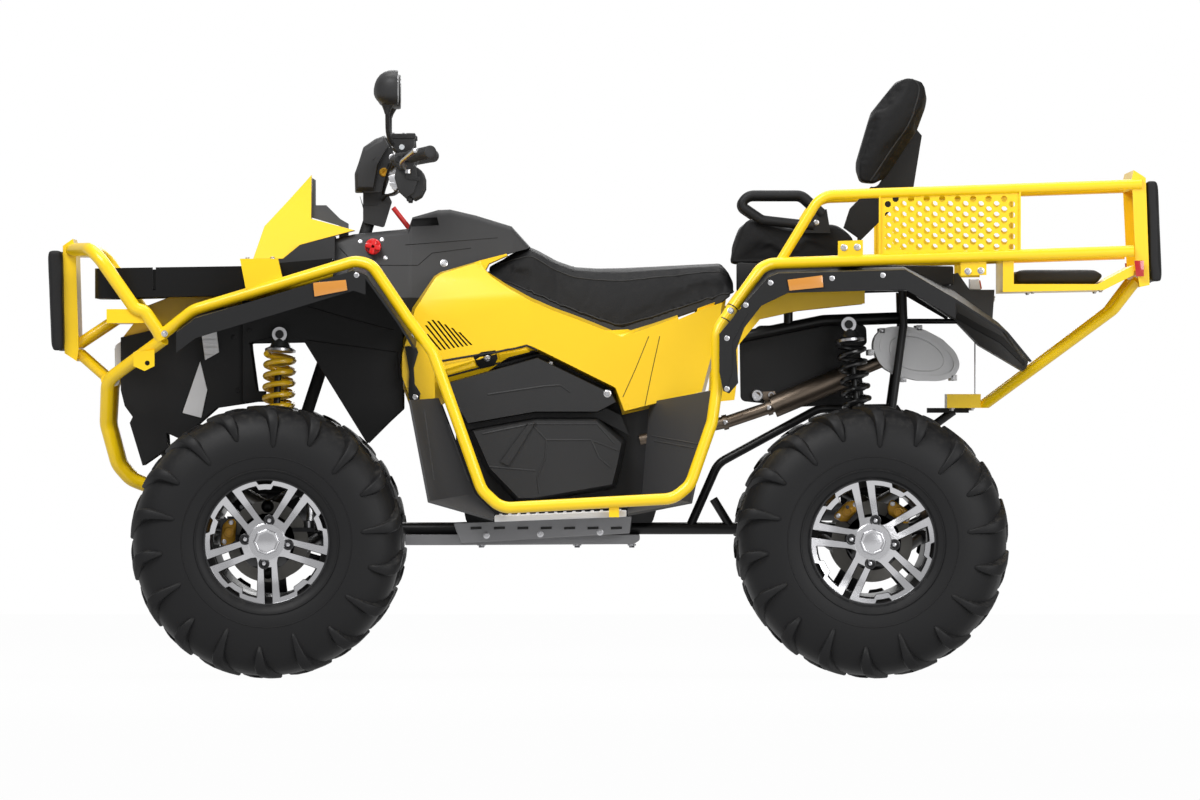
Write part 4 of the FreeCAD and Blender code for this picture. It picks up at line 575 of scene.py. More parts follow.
def make_materials():
    """All finishes by name."""
    for build in (grain_group, drift_group, rub_group, brush_group):
        build()
    tint = bpy.context.scene.quad_colours
    bare = tuple(tint.metal)
    plain = {
        "body_yellow": (
            tint.body_yellow, 0.28,
            dict(coat=0.35, drift=0.05, drift_scale=2.0, grain=0.03, grain_scale=900, dust=0.03)),
        "tube_yellow": (
            tint.tube_yellow, 0.33,
            dict(coat=0.25, drift=0.05, grain=0.10, grain_scale=420, pebble=0.2, dust=0.03)),
        "body_black": (
            tint.trim_black, 0.5,
            dict(grain=0.22, grain_scale=900, drift=0.12, drift_scale=4.0, dust=0.04, specular=0.3)),
        "console_grey": (
            tint.console_grey, 0.5,
            dict(grain=0.2, grain_scale=900, drift=0.08, drift_scale=4.0, dust=0.05, specular=0.35)),
        "footwell_grey": (
            [c * 1.6 for c in tint.console_grey], 0.55,
            dict(grain=0.24, grain_scale=800, drift=0.12, dust=0.08, specular=0.3)),
        "cover_black": (
            [c * 0.72 for c in tint.console_grey], 0.46,
            dict(grain=0.16, grain_scale=700, drift=0.12, drift_scale=5.0, dust=0.06, rubbed=0.2,
                 rubbed_colour=(0.10, 0.10, 0.10), specular=0.3)),
        "frame_black": (
            tint.frame_black, 0.38,
            dict(grain=0.08, grain_scale=380, pebble=0.2, drift=0.1, dust=0.08, rubbed=0.2,
                 rubbed_colour=(0.12, 0.11, 0.10), specular=0.35)),
        "rack_black": (
            [c * 0.9 for c in tint.frame_black], 0.5,
            dict(grain=0.14, grain_scale=520, drift=0.1, dust=0.04, specular=0.16)),
        "seat_cover": (
            tint.seat_black, 0.56,
            dict(grain=0.5, grain_scale=420, pebble=0.85, drift=0.08, drift_scale=5.0, dust=0.03,
                 specular=0.16)),
        "pad_rubber": (
            [c * 1.1 for c in tint.seat_black], 0.62,
            dict(grain=0.35, grain_scale=520, drift=0.12, dust=0.08, specular=0.3)),
        "tyre": (
            tint.tyre_black, 0.5,
            dict(grain=0.12, grain_scale=260, pebble=0.1, drift=0.1, drift_scale=5.0, dust=0.08,
                 specular=0.2)),
        "rim_face": (bare, 0.24, dict(metallic=1.0, brushed=0.05, drift=0.05, dust=0.02)),
        "rim_dark": (paint(34, 34, 36), 0.35, dict(coat=0.3, drift=0.08, dust=0.08)),
        "metal": (bare, 0.3, dict(metallic=1.0, brushed=0.08, drift=0.1, dust=0.04)),
        "dull_metal": (
            paint(128, 126, 122), 0.45,
            dict(metallic=0.9, grain=0.2, grain_scale=300, pebble=0.2, drift=0.2, dust=0.10)),
        "cast_grey": (
            paint(74, 74, 76), 0.5,
            dict(metallic=0.5, grain=0.5, grain_scale=600, drift=0.15, dust=0.10)),
        "skid_grey": (
            paint(146, 146, 148), 0.48,
            dict(metallic=0.3, brushed=0.15, drift=0.15, dust=0.10, rubbed=0.3)),
        "board_grey": (paint(222, 222, 224), 0.42, dict(metallic=0.1, brushed=0.12, drift=0.06, dust=0.05)),
        "silencer_steel": (
            paint(214, 214, 215), 0.42,
            dict(metallic=0.2, brushed=0.12, drift=0.12, drift_scale=8.0, dust=0.04)),
        "exhaust_steel": (
            paint(120, 108, 96), 0.38,
            dict(metallic=0.95, brushed=0.1, drift=0.35, drift_scale=9.0, dust=0.05)),
        "caliper_gold": (
            tint.caliper_gold, 0.35,
            dict(metallic=0.5, coat=0.3, grain=0.2, grain_scale=500, drift=0.1)),
        "spring_yellow": (tint.spring_yellow, 0.3, dict(coat=0.4, drift=0.06, grain=0.04)),
        "spring_black": (tint.frame_black, 0.3, dict(coat=0.3, drift=0.06, grain=0.04)),
        "knob_red": (paint(228, 24, 28), 0.3, dict(coat=0.4, drift=0.06, grain=0.06)),
        "hose_red": (paint(200, 40, 38), 0.35, dict(coat=0.3, drift=0.08, brushed=0.05)),
        "rubber": (paint(30, 30, 31), 0.6, dict(grain=0.3, grain_scale=500, drift=0.1)),
        "seam": (paint(16, 16, 16), 0.6, dict(grain=0.3, grain_scale=900, drift=0.1)),
        "screen": (paint(8, 9, 11), 0.08, dict(coat=1.0, drift=0.02, dust=0.01)),
        "mirror_glass": ((0.9, 0.9, 0.92), 0.03, dict(metallic=1.0, drift=0.01, dust=0.0)),
        "plate_white": (paint(214, 212, 206), 0.35, dict(coat=0.3, drift=0.04, dust=0.05)),
    }
    glowing = {
        "amber_lens": (paint(205, 135, 45), 0.25, 0.03),
        "red_lens": (paint(180, 14, 18), 0.2, 0.04),
        "clear_lens": (paint(205, 210, 214), 0.08, 0.05),
    }
    finishes = {name: finish_material(name, colour, roughness, **more)
                for name, (colour, roughness, more) in plain.items()}
    finishes.update({name: glow_material(name, *row) for name, row in glowing.items()})
    return finishes


finish = {}

# Finish of carried-over nodes, the width of their rounded edges and their names
NODE_FINISHES = [
    ("frame_black", 0.0, "frame front_arms rear_arms"),
    ("body_black", 0.004, "engine backrest_bracket"),
    ("skid_grey", 0.003, "skid_plate"),
    ("cast_grey", 0.003, "differentials"),
    ("cast_grey", 0.002, "rear_hubs knuckle_left knuckle_right"),
    ("rubber", 0.0, "half_shafts"),
    ("console_grey", 0.004, "console"),
    ("body_yellow", 0.005, "front_cowl"),
    ("body_yellow", 0.004, "side_panel_left side_panel_right"),
    ("cover_black", 0.003, "engine_covers"),
    ("footwell_grey", 0.002, "footwells"),
    ("board_grey", 0.002, "footboards"),
    ("body_black", 0.002, "front_fenders rear_fenders"),
    ("body_black", 0.003, "front_fascia splash_liners"),
    ("body_black", 0.0, "grab_handles"),
    ("rack_black", 0.003, "front_rack"),
    ("tube_yellow", 0.0, "front_bumper side_guard_left side_guard_right rear_rack rack_panels rear_frame"),
    ("tube_yellow", 0.002, "rear_shelf"),
    ("exhaust_steel", 0.0, "exhaust"),
    ("silencer_steel", 0.0, "silencer"),
    ("frame_black", 0.0015, "hitch"),
    ("rubber", 0.002, "steering_column"),
    ("metal", 0.0, "tie_rod_left tie_rod_right"),
    ("board_grey", 0.0015, "lamps"),
    ("console_grey", 0.003, "tail"),
]


def build_finishes(context):
    """Finishes of the carried-over nodes, and their rounded edges."""
    finish.update(make_materials())
    rows = {name: (material, edge) for material, edge, names in NODE_FINISHES for name in names.split()}
    for name, node in frame["nodes"].items():
        if name not in rows:
            continue
        material, edge = rows[name]
        if not node.data.materials:
            node.data.materials.append(finish[material])
        for slot in node.material_slots:
            slot.material = finish[material]
        if edge:
            weld = node.modifiers.new("Weld", "WELD")
            weld.merge_threshold = 1e-5
            bevel = node.modifiers.new("Rounded edges", "BEVEL")
            bevel.width = edge
            bevel.segments = 2
            bevel.limit_method = "ANGLE"
            bevel.angle_limit = math.radians(35)
            bevel.use_clamp_overlap = True
            bevel.miter_outer = "MITER_ARC"
            normals = node.modifiers.new("Even shading", "WEIGHTED_NORMAL")
            normals.keep_sharp = False


# Wheels

TYRE_STEPS = 144
RIB_STEPS = 96
# Half section of a tyre: shares of its half width and of its rise over the bead
CARCASS = [(0.80, 0.00), (0.86, 0.03), (0.90, 0.10), (0.945, 0.24), (0.955, 0.40), (0.93, 0.55), (0.87, 0.70),
           (0.77, 0.82), (0.62, 0.90), (0.40, 0.945), (0.18, 0.96)]
# Ribs of a sidewall: the same two shares and a radius
SIDEWALL_RIBS = ((0.915, 0.12, 0.0022), (0.949, 0.30, 0.0014))
# Stations of a lug: the same two shares, turn about the axle and half width
LONG_LUG_START = (0.03, 1.0, -0.150, 0.017)
SHORT_LUG_START = (0.24, 0.999, -0.112, 0.017)
LUG_SHOULDER = [(0.42, 0.996, -0.078, 0.0185), (0.66, 0.983, -0.032, 0.020), (0.83, 0.935, 0.0, 0.0205),
                (0.93, 0.85, 0.016, 0.0195), (0.972, 0.75, 0.024, 0.0165)]
LONG_LUG_END = [(0.988, 0.62, 0.030, 0.013), (0.986, 0.47, 0.034, 0.0095), (0.945, 0.415, 0.035, 0.0065)]
SHORT_LUG_END = [(0.986, 0.66, 0.028, 0.0125), (0.945, 0.56, 0.030, 0.007)]
# Section of a lug: place across it and share of its depth
LUG_SECTION = ((-1.0, 1.0), (-0.74, 0.12), (-0.60, 0.0), (0.60, 0.0), (0.74, 0.12), (1.0, 1.0))
DEEP_STATIONS = 5
DEEP_SHARE = 1.5
SHALLOW_SHARE = 0.9
# Part of a pitch by which the lugs of the inner and the outer side start later
LUG_OFFSETS = {1: 0.5, -1: 0.1}


def wheel_bodies():
    """Name, side, centre and width of each wheel, from the CAD tyre."""
    for end in ("front", "rear"):
        for side_name, side in SIDES:
            low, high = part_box("tyre_%s_%s" % (end, side_name))
            yield end, side_name, side, (low + high) / 2, high.y - low.y


def lug(half, radius, bead, side, long_lug, height):
    """One tread lug that runs from the crown over the shoulder to its pointed end on the sidewall."""
    start, stop = (LONG_LUG_START, LONG_LUG_END) if long_lug else (SHORT_LUG_START, SHORT_LUG_END)
    stations = [start] + LUG_SHOULDER + stop
    rise = radius - bead
    rings = []
    for i, (w_share, r_share, shift, half_width) in enumerate(stations):
        w = half * w_share
        r = bead + rise * r_share
        before = stations[max(i - 1, 0)]
        after = stations[min(i + 1, len(stations) - 1)]
        run = Vector((half * (after[0] - before[0]), rise * (after[1] - before[1]))).normalized()
        out = Vector((-run.y, run.x))
        depth = height * (DEEP_SHARE if i < DEEP_STATIONS else SHALLOW_SHARE)
        ring = []
        for across, sink in LUG_SECTION:
            point_w = w - out.x * depth * sink
            point_r = r - out.y * depth * sink
            angle = shift + across * half_width / radius
            ring.append(Vector((point_r * math.sin(angle), side * point_w, point_r * math.cos(angle))))
        rings.append(ring)
    return loft(rings)


def wheel_point(radius, share, y):
    """Point of a wheel at a share of its turn."""
    angle = 2 * math.pi * share
    return Vector((radius * math.sin(angle), y, radius * math.cos(angle)))


def build_tyres(context):
    """Lugged tyres with a round carcass, bead ring and sidewall ribs."""
    sizes = context.scene.quad_sizes
    for end, side_name, side, centre, width in wheel_bodies():
        half = width / 2
        radius = centre.z
        rim_low, rim_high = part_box("rim_%s_%s" % (end, side_name))
        bead = (rim_high.x - rim_low.x) / 2
        rise = radius - bead
        profile = [(half * w, bead + rise * r) for w, r in CARCASS]
        section = profile + [(-w, r) for w, r in profile[::-1]]
        rings = [[wheel_point(r, i / TYRE_STEPS, w) for w, r in section] for i in range(TYRE_STEPS)]
        parts = [loft(rings + [rings[0]], cap=False)]
        for face_side in (-1, 1):
            for width_share, rise_share, size in SIDEWALL_RIBS:
                r = bead + rise * rise_share
                y = face_side * half * width_share
                ring = [wheel_point(r, k / RIB_STEPS, y) for k in range(RIB_STEPS)]
                parts.append(sweep(ring, size, 6, closed=True))
        pitch = 2 * math.pi / sizes.lug_count
        for face_side in (-1, 1):
            for i in range(sizes.lug_count):
                piece = lug(half, radius, bead, face_side, i % 2 == 0, sizes.lug_height)
                turn = Matrix.Rotation(pitch * (i + LUG_OFFSETS[face_side]), 3, "Y")
                bmesh.ops.rotate(piece, verts=piece.verts, cent=(0, 0, 0), matrix=turn)
                parts.append(rounded_edges(piece, 0.0014, 1, 35))
        bm = together(parts)
        bmesh.ops.translate(bm, verts=bm.verts, vec=centre)
        name = "tyre_%s_%s" % (end, side_name)
        show("lugged_" + name, bm, "wheel_%s_%s" % (end, side_name), [finish["tyre"]], sharp=32,
             replaces=[name])


FACE, DARK, DISC = range(3)

SPOKES = 5
SPOKE_START = {"front": 272.0, "rear": 244.0}
# Sizes of the flat face in millimetres
SLOT_HALF = 8.5
PRONG_IN = 25.0
PRONG_OUT = 29.0
RING_RADIUS = 136.0
EDGE_RADIUS = 150.5
FACE_INSET = 0.024
FACE_DEPTH = 0.016
DISH = 0.007
DISH_START = 0.05
DISH_WIDTH = 0.095
# Barrel: places from the face and from the inner end, and how far each lies inside the rim's radius
BARREL_FRONT = [(0.004, 0.0), (0.004, 0.0035), (-0.012, 0.007), (-0.05, 0.019), (-0.11, 0.019)]
BARREL_BACK = [(0.012, 0.008), (0.0, 0.006), (0.0, 0.0)]
BARREL_END_INSET = 0.022
HUB_CAP = [(0.0, 0.032), (0.008, 0.032), (0.0105, 0.0300), (0.0105, 0.0265), (0.0088, 0.0250),
           (0.0095, 0.0235), (0.0100, 0.002)]
HUB_RING = [(0.0, 0.046), (0.002, 0.046), (0.004, 0.043), (0.004, 0.02)]
HUB_WELL = [(-0.012, 0.068), (-0.012, 0.002), (-0.06, 0.002), (-0.06, 0.062)]
NUTS = 4
NUT_CIRCLE = 0.0525
NUT_TURN = math.radians(7)
NUT_SEAT = [(0.0, 0.0135), (0.0125, 0.0135), (0.013, 0.012), (0.0115, 0.0105), (0.009, 0.001)]
NUT_TIP = [(0.004, 0.0062), (0.0085, 0.0058), (0.0105, 0.0042), (0.0112, 0.0005)]
DISC_INSET = 0.027
DISC_RING = [(0.0, 0.055), (0.0, 0.098), (-0.005, 0.098), (-0.005, 0.055)]
DISC_HUB = [(-0.05, 0.03), (0.06, 0.03), (0.06, 0.045), (0.075, 0.05), (0.10, 0.05)]
DISC_ARMS = 6
VALVE = [(0.0, 0.0045), (0.006, 0.0045), (0.007, 0.0032), (0.024, 0.0032), (0.026, 0.002)]
VALVE_CIRCLE = 0.104
VALVE_TURN = 2.2


def rim_sector():
    """Flat pattern of one half of a fifth of the rim's face, as polygons in millimetres."""
    def polar(radius, degrees):
        angle = math.radians(degrees)
        return (radius * math.cos(angle), radius * math.sin(angle))
    slot = SLOT_HALF
    ring = RING_RADIUS
    edge = EDGE_RADIUS
    start = math.degrees(math.asin(slot / edge))
    inner_prong = math.degrees(math.asin(PRONG_OUT / ring))
    return [
        [polar(34, 0), (62, 0), (62, slot), (72, PRONG_IN), (52, 24), polar(34, 36)],
        [(62, slot), (88, slot), (88, PRONG_IN + 1), (72, PRONG_IN)],
        [(88, slot), (114, slot), (114, PRONG_IN + 2.2), (88, PRONG_IN + 1)],
        [(114, slot), (ring - 4, slot), polar(ring, inner_prong), (114, PRONG_IN + 2.2)],
        [(ring - 4, slot), (edge * math.cos(math.radians(start)), slot), polar(edge, 12),
         polar(ring, inner_prong)],
        [polar(edge, 12), polar(edge, 20), polar(ring, 20), polar(ring, inner_prong)],
        [polar(edge, 20), polar(edge, 28), polar(ring, 27), polar(ring, 20)],
        [polar(edge, 28), polar(140.5, 30), polar(125.5, 29), polar(ring, 27)],
        [polar(140.5, 30), polar(140.5, 36), polar(125.5, 36), polar(125.5, 29)],
        [(52, 24), polar(34, 36), polar(46, 36)],
    ]


def rim_face(centre, outer_y, side, start_degrees):
    """Machined face of the rim: forked spokes, notched ring and hub, silver outside and dark within."""
    bm = bmesh.new()
    for k in range(SPOKES):
        for flip in (1, -1):
            turn = math.radians(start_degrees + 360 / SPOKES * k)
            for polygon in rim_sector():
                verts = []
                for u, v in polygon:
                    v *= flip
                    x = u * math.cos(turn) - v * math.sin(turn)
                    z = u * math.sin(turn) + v * math.cos(turn)
                    verts.append(bm.verts.new((x / 1000, 0, z / 1000)))
                bm.faces.new(verts)
    bmesh.ops.remove_doubles(bm, verts=bm.verts, dist=2e-4)
    bmesh.ops.recalc_face_normals(bm, faces=bm.faces)
    top = list(bm.faces)
    copy = bmesh.ops.duplicate(bm, geom=list(bm.verts) + list(bm.edges) + list(bm.faces))
    pairs = copy["vert_map"]
    boundary = [e for f in top for e in f.edges if len(e.link_faces) == 1]
    for edge in boundary:
        a, b = edge.verts
        bm.faces.new((a, b, pairs[b], pairs[a]))
    for face in top:
        for vert in face.verts:
            r = math.hypot(vert.co.x, vert.co.z)
            dish = DISH * math.sin(math.pi * min(max((r - DISH_START) / DISH_WIDTH, 0.0), 1.0))
            vert.co.y = outer_y - side * dish
            pairs[vert].co.y = outer_y - side * (dish + FACE_DEPTH)
    bmesh.ops.recalc_face_normals(bm, faces=bm.faces)
    rounded_edges(bm, 0.0013, 1, 40)
    bm.normal_update()
    for face in bm.faces:
        face.material_index = FACE if face.normal.y * side > 0.9 else DARK
    bmesh.ops.translate(bm, verts=bm.verts, vec=Vector((centre.x, 0, centre.z)))
    return bm


def nut_parts(centre, face_y, side):
    """Wheel nuts, each in its seat and with its rounded tip."""
    parts = []
    for k in range(NUTS):
        angle = math.pi / 2 * k - NUT_TURN
        spot = Vector((centre.x + NUT_CIRCLE * math.cos(angle), face_y - side * 0.010,
                       centre.z + NUT_CIRCLE * math.sin(angle)))
        nut = spot + Vector((0, side * 0.009, 0))
        parts.append((lathe(NUT_SEAT, spot, (0, side, 0), 24), DARK))
        parts.append((bolt(nut, (0, side, 0), 0.0078, False), DARK))
        parts.append((lathe(NUT_TIP, nut, (0, side, 0), 16), FACE))
    return parts


def disc_arms(centre, disc_y):
    """Arms that carry the brake disc."""
    hub = Vector((centre.x, disc_y, centre.z))
    parts = []
    for k in range(DISC_ARMS):
        arm = block((centre.x + 0.03, disc_y - 0.004, centre.z - 0.007),
                    (centre.x + 0.062, disc_y + 0.004, centre.z + 0.007), 0.001, 1)
        bmesh.ops.rotate(arm, verts=arm.verts, cent=hub, matrix=Matrix.Rotation(math.pi / 3 * k, 3, "Y"))
        parts.append((arm, DISC))
    return parts


def build_rims(context):
    """Rims with forked spokes, wheel nuts, hub cap, brake disc and a turned barrel."""
    for end, side_name, side, centre, width in wheel_bodies():
        name = "rim_%s_%s" % (end, side_name)
        low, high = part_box(name)
        radius = (high.x - low.x) / 2
        outer = high.y if side > 0 else low.y
        inner = low.y if side > 0 else high.y
        face_y = outer - side * FACE_INSET
        back_y = centre.y - side * (width / 2 - BARREL_END_INSET)
        middle = Vector((centre.x, 0, centre.z))
        face = Vector((centre.x, face_y, centre.z))
        ring = Vector((centre.x, face_y - side * 0.001, centre.z))
        disc_y = inner + side * DISC_INSET
        disc = Vector((centre.x, disc_y, centre.z))
        valve = Vector((centre.x + VALVE_CIRCLE * math.cos(VALVE_TURN), face_y - side * 0.012,
                        centre.z + VALVE_CIRCLE * math.sin(VALVE_TURN)))
        out = (0, side, 0)
        barrel = [(face_y + side * along, radius - inset) for along, inset in BARREL_FRONT]
        barrel += [(back_y + side * along, radius - inset) for along, inset in BARREL_BACK]
        parts = [
            (rim_face(middle, face_y, side, SPOKE_START[end]), None),
            (lathe(barrel, middle, (0, 1, 0), 96, closed=True), DARK),
            (rounded_edges(lathe(HUB_CAP, face, out, 8), 0.001, 1, 20), FACE),
            (lathe(HUB_RING, ring, out, 48), FACE),
            (lathe(HUB_WELL, face, out, 48), DARK),
        ]
        parts += nut_parts(centre, face_y, side)
        parts += [
            (lathe(DISC_RING, disc, out, 72, closed=True), DISC),
            (lathe(DISC_HUB, disc, out, 32), DARK),
            (lathe(VALVE, valve, out, 12), DARK),
        ]
        parts += disc_arms(centre, disc_y)
        show("forked_" + name, together(parts), "wheel_%s_%s" % (end, side_name),
             [finish["rim_face"], finish["rim_dark"], finish["dull_metal"]], sharp=30, replaces=[name])


# Soft pieces

CLOTH_STEPS = 20
CLOTH_PRESSURE = 4.0
VOXEL = 0.006
QUICK_SHARE = 0.6


def inflate(piece, limit, keep=None):
    """Swells a soft piece as its filling would, by cloth simulation, and smooths the result."""
    remesh = piece.modifiers.new("Even faces", "REMESH")
    remesh.mode = "VOXEL"
    remesh.voxel_size = VOXEL
    bpy.context.view_layer.update()
    graph = bpy.context.evaluated_depsgraph_get()
    mesh = bpy.data.meshes.new_from_object(piece.evaluated_get(graph))
    piece.modifiers.clear()
    piece.data = mesh
    rest = [v.co.copy() for v in mesh.vertices]
    normals = [v.normal.copy() for v in mesh.vertices]
    cloth = piece.modifiers.new("Filling", "CLOTH")
    cloth.settings.quality = 4
    cloth.settings.use_pressure = True
    cloth.settings.uniform_pressure_force = CLOTH_PRESSURE
    cloth.settings.effector_weights.gravity = 0
    cloth.point_cache.frame_start = 1
    cloth.point_cache.frame_end = CLOTH_STEPS
    scene = bpy.context.scene
    for step in range(1, CLOTH_STEPS + 1):
        scene.frame_set(step)
    graph = bpy.context.evaluated_depsgraph_get()
    swollen = piece.evaluated_get(graph).to_mesh()
    moves = [v.co - r for v, r in zip(swollen.vertices, rest)]
    piece.evaluated_get(graph).to_mesh_clear()
    piece.modifiers.clear()
    scene.frame_set(1)
    for vert, place, move, normal in zip(mesh.vertices, rest, moves, normals):
        if move.length > limit:
            move = move * (limit / move.length)
        vert.co = place + move * (keep(normal) if keep else 1.0)
    for polygon in mesh.polygons:
        polygon.use_smooth = True
    modifier = piece.modifiers.new("Smooth", "SUBSURF")
    modifier.levels = modifier.render_levels = 1


def seam_on(piece, line, radius, lift=0.0):
    """Cord of piping or a sewn channel that lies on a soft piece along a line."""
    tree = BVHTree.FromObject(piece, bpy.context.evaluated_depsgraph_get())
    points = []
    for point in line:
        spot, normal, index, distance = tree.find_nearest(point)
        points.append(spot + normal * lift)
    return sweep(points, radius, 8)


# Stations of the seat: place along the vehicle, top, hem, half width at the top and at the hem
SEAT_STATIONS = [
    (487.0, 262.0, 271.5, 0.055, 0.090), (497, 256.5, 277.5, 0.072, 0.102), (512, 250.5, 285.0, 0.086, 0.113),
    (531, 246.2, 293.0, 0.097, 0.130), (543, 253.0, 298.5, 0.101, 0.136), (556, 260.5, 304.5, 0.108, 0.141),
    (574, 266.8, 312.0, 0.120, 0.153), (597, 268.2, 320.5, 0.130, 0.166), (622, 267.8, 328.0, 0.140, 0.176),
    (660, 266.0, 316.0, 0.146, 0.180), (700, 264.0, 302.0, 0.145, 0.180), (722, 263.0, 295.5, 0.140, 0.177),
    (731, 267.5, 293.0, 0.136, 0.174), (736.5, 279.0, 291.0, 0.132, 0.171),
]
# Upper half of a section: share of the half width and of the rise
SEAT_CROWN = [(0.0, 1.0), (0.45, 0.985), (0.78, 0.93), (0.97, 0.80)]
SEAT_FLANK = (0.35, 0.7, 0.93)
CROSS_SEAM_PX = (574, 262)
PAN_ENDS_PX = (500, 727)
PAN_THICKNESS = 0.017
PAN_END_THICKNESS = 0.006


def seat_ring(px, top, bottom, half_top, half_bottom, shrink):
    """Section of the seat: a crowned top, full shoulders and flanks that lean out to the hem."""
    high = at(px, top).z - shrink
    low = at(px, bottom).z
    x = at(px, top).x
    rise = high - low
    crown = min(0.012, rise * 0.15)
    points = [(half_top * share, low + rise * lift + crown * (lift - 1.0)) for share, lift in SEAT_CROWN]
    for share in SEAT_FLANK:
        points.append((half_top + (half_bottom - half_top) * share - shrink,
                       low + rise * (0.80 - 0.80 * share)))
    points.append((half_bottom - shrink, low))
    return [Vector((x, -y, z)) for y, z in points[::-1]] + [Vector((x, y, z)) for y, z in points[1:]]


def pan_ring(px, top, bottom, half_top, half_bottom):
    """Section of the pan under the seat's hem."""
    x = at(px, bottom).x
    z = at(px, bottom).z
    thick = PAN_THICKNESS if PAN_ENDS_PX[0] < px < PAN_ENDS_PX[1] else PAN_END_THICKNESS
    return [Vector((x, -half_bottom + 0.010, z + 0.004)), Vector((x, half_bottom - 0.010, z + 0.004)),
            Vector((x, half_bottom - 0.006, z - thick)), Vector((x, -half_bottom + 0.006, z - thick))]


def build_seat(context):
    """Rider's seat in grained cover over a dark seat pan, with its seams."""
    swell = context.scene.quad_sizes.seat_swell
    rings = [seat_ring(*station, swell * QUICK_SHARE) for station in SEAT_STATIONS]
    seat = show("seat_cushion", loft(rings), "chassis", [finish["seat_cover"]],
                replaces=["seat"])
    bpy.context.view_layer.update()
    inflate(seat, swell, lambda normal: 0.15 if normal.z < -0.4 else 1.0)
    bpy.context.view_layer.update()
    pan = loft([pan_ring(*station) for station in SEAT_STATIONS[:-1]])
    show("seat_pan", rounded_edges(pan, 0.002, 1), "chassis", [finish["seam"]])
    parts = []
    for side in (-1, 1):
        edge = []
        hem = []
        for px, top, bottom, half_top, half_bottom in SEAT_STATIONS:
            high = at(px, top)
            low = at(px, bottom)
            edge.append(Vector((high.x, side * half_top * 0.98, low.z + (high.z - low.z) * 0.84)))
            hem.append(Vector((low.x, side * half_bottom, low.z + 0.010)))
        parts.append(seam_on(seat, through(edge[1:-1], 5), 0.0016, 0.0002))
        parts.append(seam_on(seat, through(hem[:-1], 4), 0.0018))
    across = [at(*CROSS_SEAM_PX, i * 0.012) for i in range(-9, 10)]
    parts.append(seam_on(seat, across, 0.0014))
    show("seat_seams", together(parts), "chassis", [finish["seam"]])


PILLION_PX = [(729, 262), (741.5, 226), (746, 219), (757, 217.5), (790, 227), (838, 224.5), (856, 237),
              (857, 263), (740, 263)]
PILLION_HALF = 0.146
PILLION_SWELL = 0.004
DECK_PX = [(738.2, 262), (955, 265.5), (955, 283.6), (910, 289.5), (738.2, 289.5)]


def build_pillion(context):
    """Passenger's seat on its moulded deck."""
    low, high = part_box("pillion")
    cushion = show("pillion_cushion", outline_block(PILLION_PX, -PILLION_HALF, PILLION_HALF, 0.014, 3),
                   "chassis", [finish["seat_cover"]], replaces=["pillion"])
    bpy.context.view_layer.update()
    inflate(cushion, PILLION_SWELL, lambda normal: 0.1 if normal.z < -0.5 else 1.0)
    show("rear_deck", outline_block(DECK_PX, low.y, high.y, 0.004), "chassis",
         [finish["body_black"]])


BACKREST_PX = [(905, 77), (910, 74.5), (924, 78), (928, 84), (924, 104), (915.5, 127), (878, 183),
               (863, 181.5), (861, 178), (862, 162), (877, 112)]
BACKREST_HALF = 0.138
PIPING_PX = [(914, 76), (921, 86), (916, 106), (907, 126), (872, 180)]
PIPING_Y = 0.132


def build_backrest(context):
    """Padded backrest in two facets, with piping along its edges."""
    cushion = show("backrest_cushion", outline_block(BACKREST_PX, -BACKREST_HALF, BACKREST_HALF, 0.012, 3),
                   "chassis", [finish["seat_cover"]], replaces=["backrest"])
    bpy.context.view_layer.update()
    inflate(cushion, context.scene.quad_sizes.backrest_swell)
    bpy.context.view_layer.update()
    parts = []
    for side in (-1, 1):
        line = through([at(px, py, side * PIPING_Y) for px, py in PIPING_PX], 8)
        parts.append(seam_on(cushion, line, 0.0022))
    show("backrest_piping", together(parts), "chassis", [finish["seam"]])


PADS = [
    ("front_pad", "bumper_pad", [(46, 249), (59.2, 249), (61, 351), (50, 351)]),
    ("rear_pad", "rack_pad", [(1147, 180), (1157.3, 180), (1161.5, 282), (1151, 282)]),
    ("shelf_pad", "shelf_pad_cover", [(1016.3, 270.6), (1097.5, 270.6), (1105.5, 274.5), (1098.5, 283),
                                      (1016.3, 283)]),
]


def build_pads(context):
    """Rubber pads on the front bumper, the rear rack and the rear shelf."""
    swell = context.scene.quad_sizes.pad_swell
    for node, name, outline in PADS:
        low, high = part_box(node)
        bm = outline_block(outline, low.y + swell, high.y - swell, 0.005, 2)
        piece = show(name, bm, "chassis", [finish["pad_rubber"]], replaces=[node])
        bpy.context.view_layer.update()
        inflate(piece, swell)


# Springs

SPRING_TURNS = 9.5
COIL_RADIUS = 0.0305
COIL_STEPS = 20
COIL_ABOVE_FOOT = 0.075
COIL_BELOW_TOP = 0.048
SHOCK_EYE_REACH = 0.018
SHOCK_END_BAND = 0.03
SHOCK_EYE = [(-0.015, 0.0105), (-0.015, 0.018), (0.015, 0.018), (0.015, 0.0105)]
SHOCK_FOOT = [(0.012, 0.010), (0.012, 0.016), (0.05, 0.016), (0.055, 0.030), (0.063, 0.036), (0.068, 0.036),
              (0.070, 0.018)]
SHOCK_CROWN = [(0.044, 0.010), (0.042, 0.034), (0.036, 0.034), (0.030, 0.022), (0.020, 0.018), (0.014, 0.015),
               (0.010, 0.013)]


def shock_ends(end):
    """Centres of the lower and the upper eye of a CAD shock absorber on the left side."""
    points = [v.co for v in frame["nodes"][end + "_shocks"].data.vertices if v.co.y < 0]
    lowest = min(p.z for p in points)
    highest = max(p.z for p in points)
    low = [p for p in points if p.z < lowest + SHOCK_END_BAND]
    high = [p for p in points if p.z > highest - SHOCK_END_BAND]
    foot = sum(low, Vector()) / len(low)
    top = sum(high, Vector()) / len(high)
    foot.z = lowest + SHOCK_EYE_REACH
    top.z = highest - SHOCK_EYE_REACH
    return foot, top


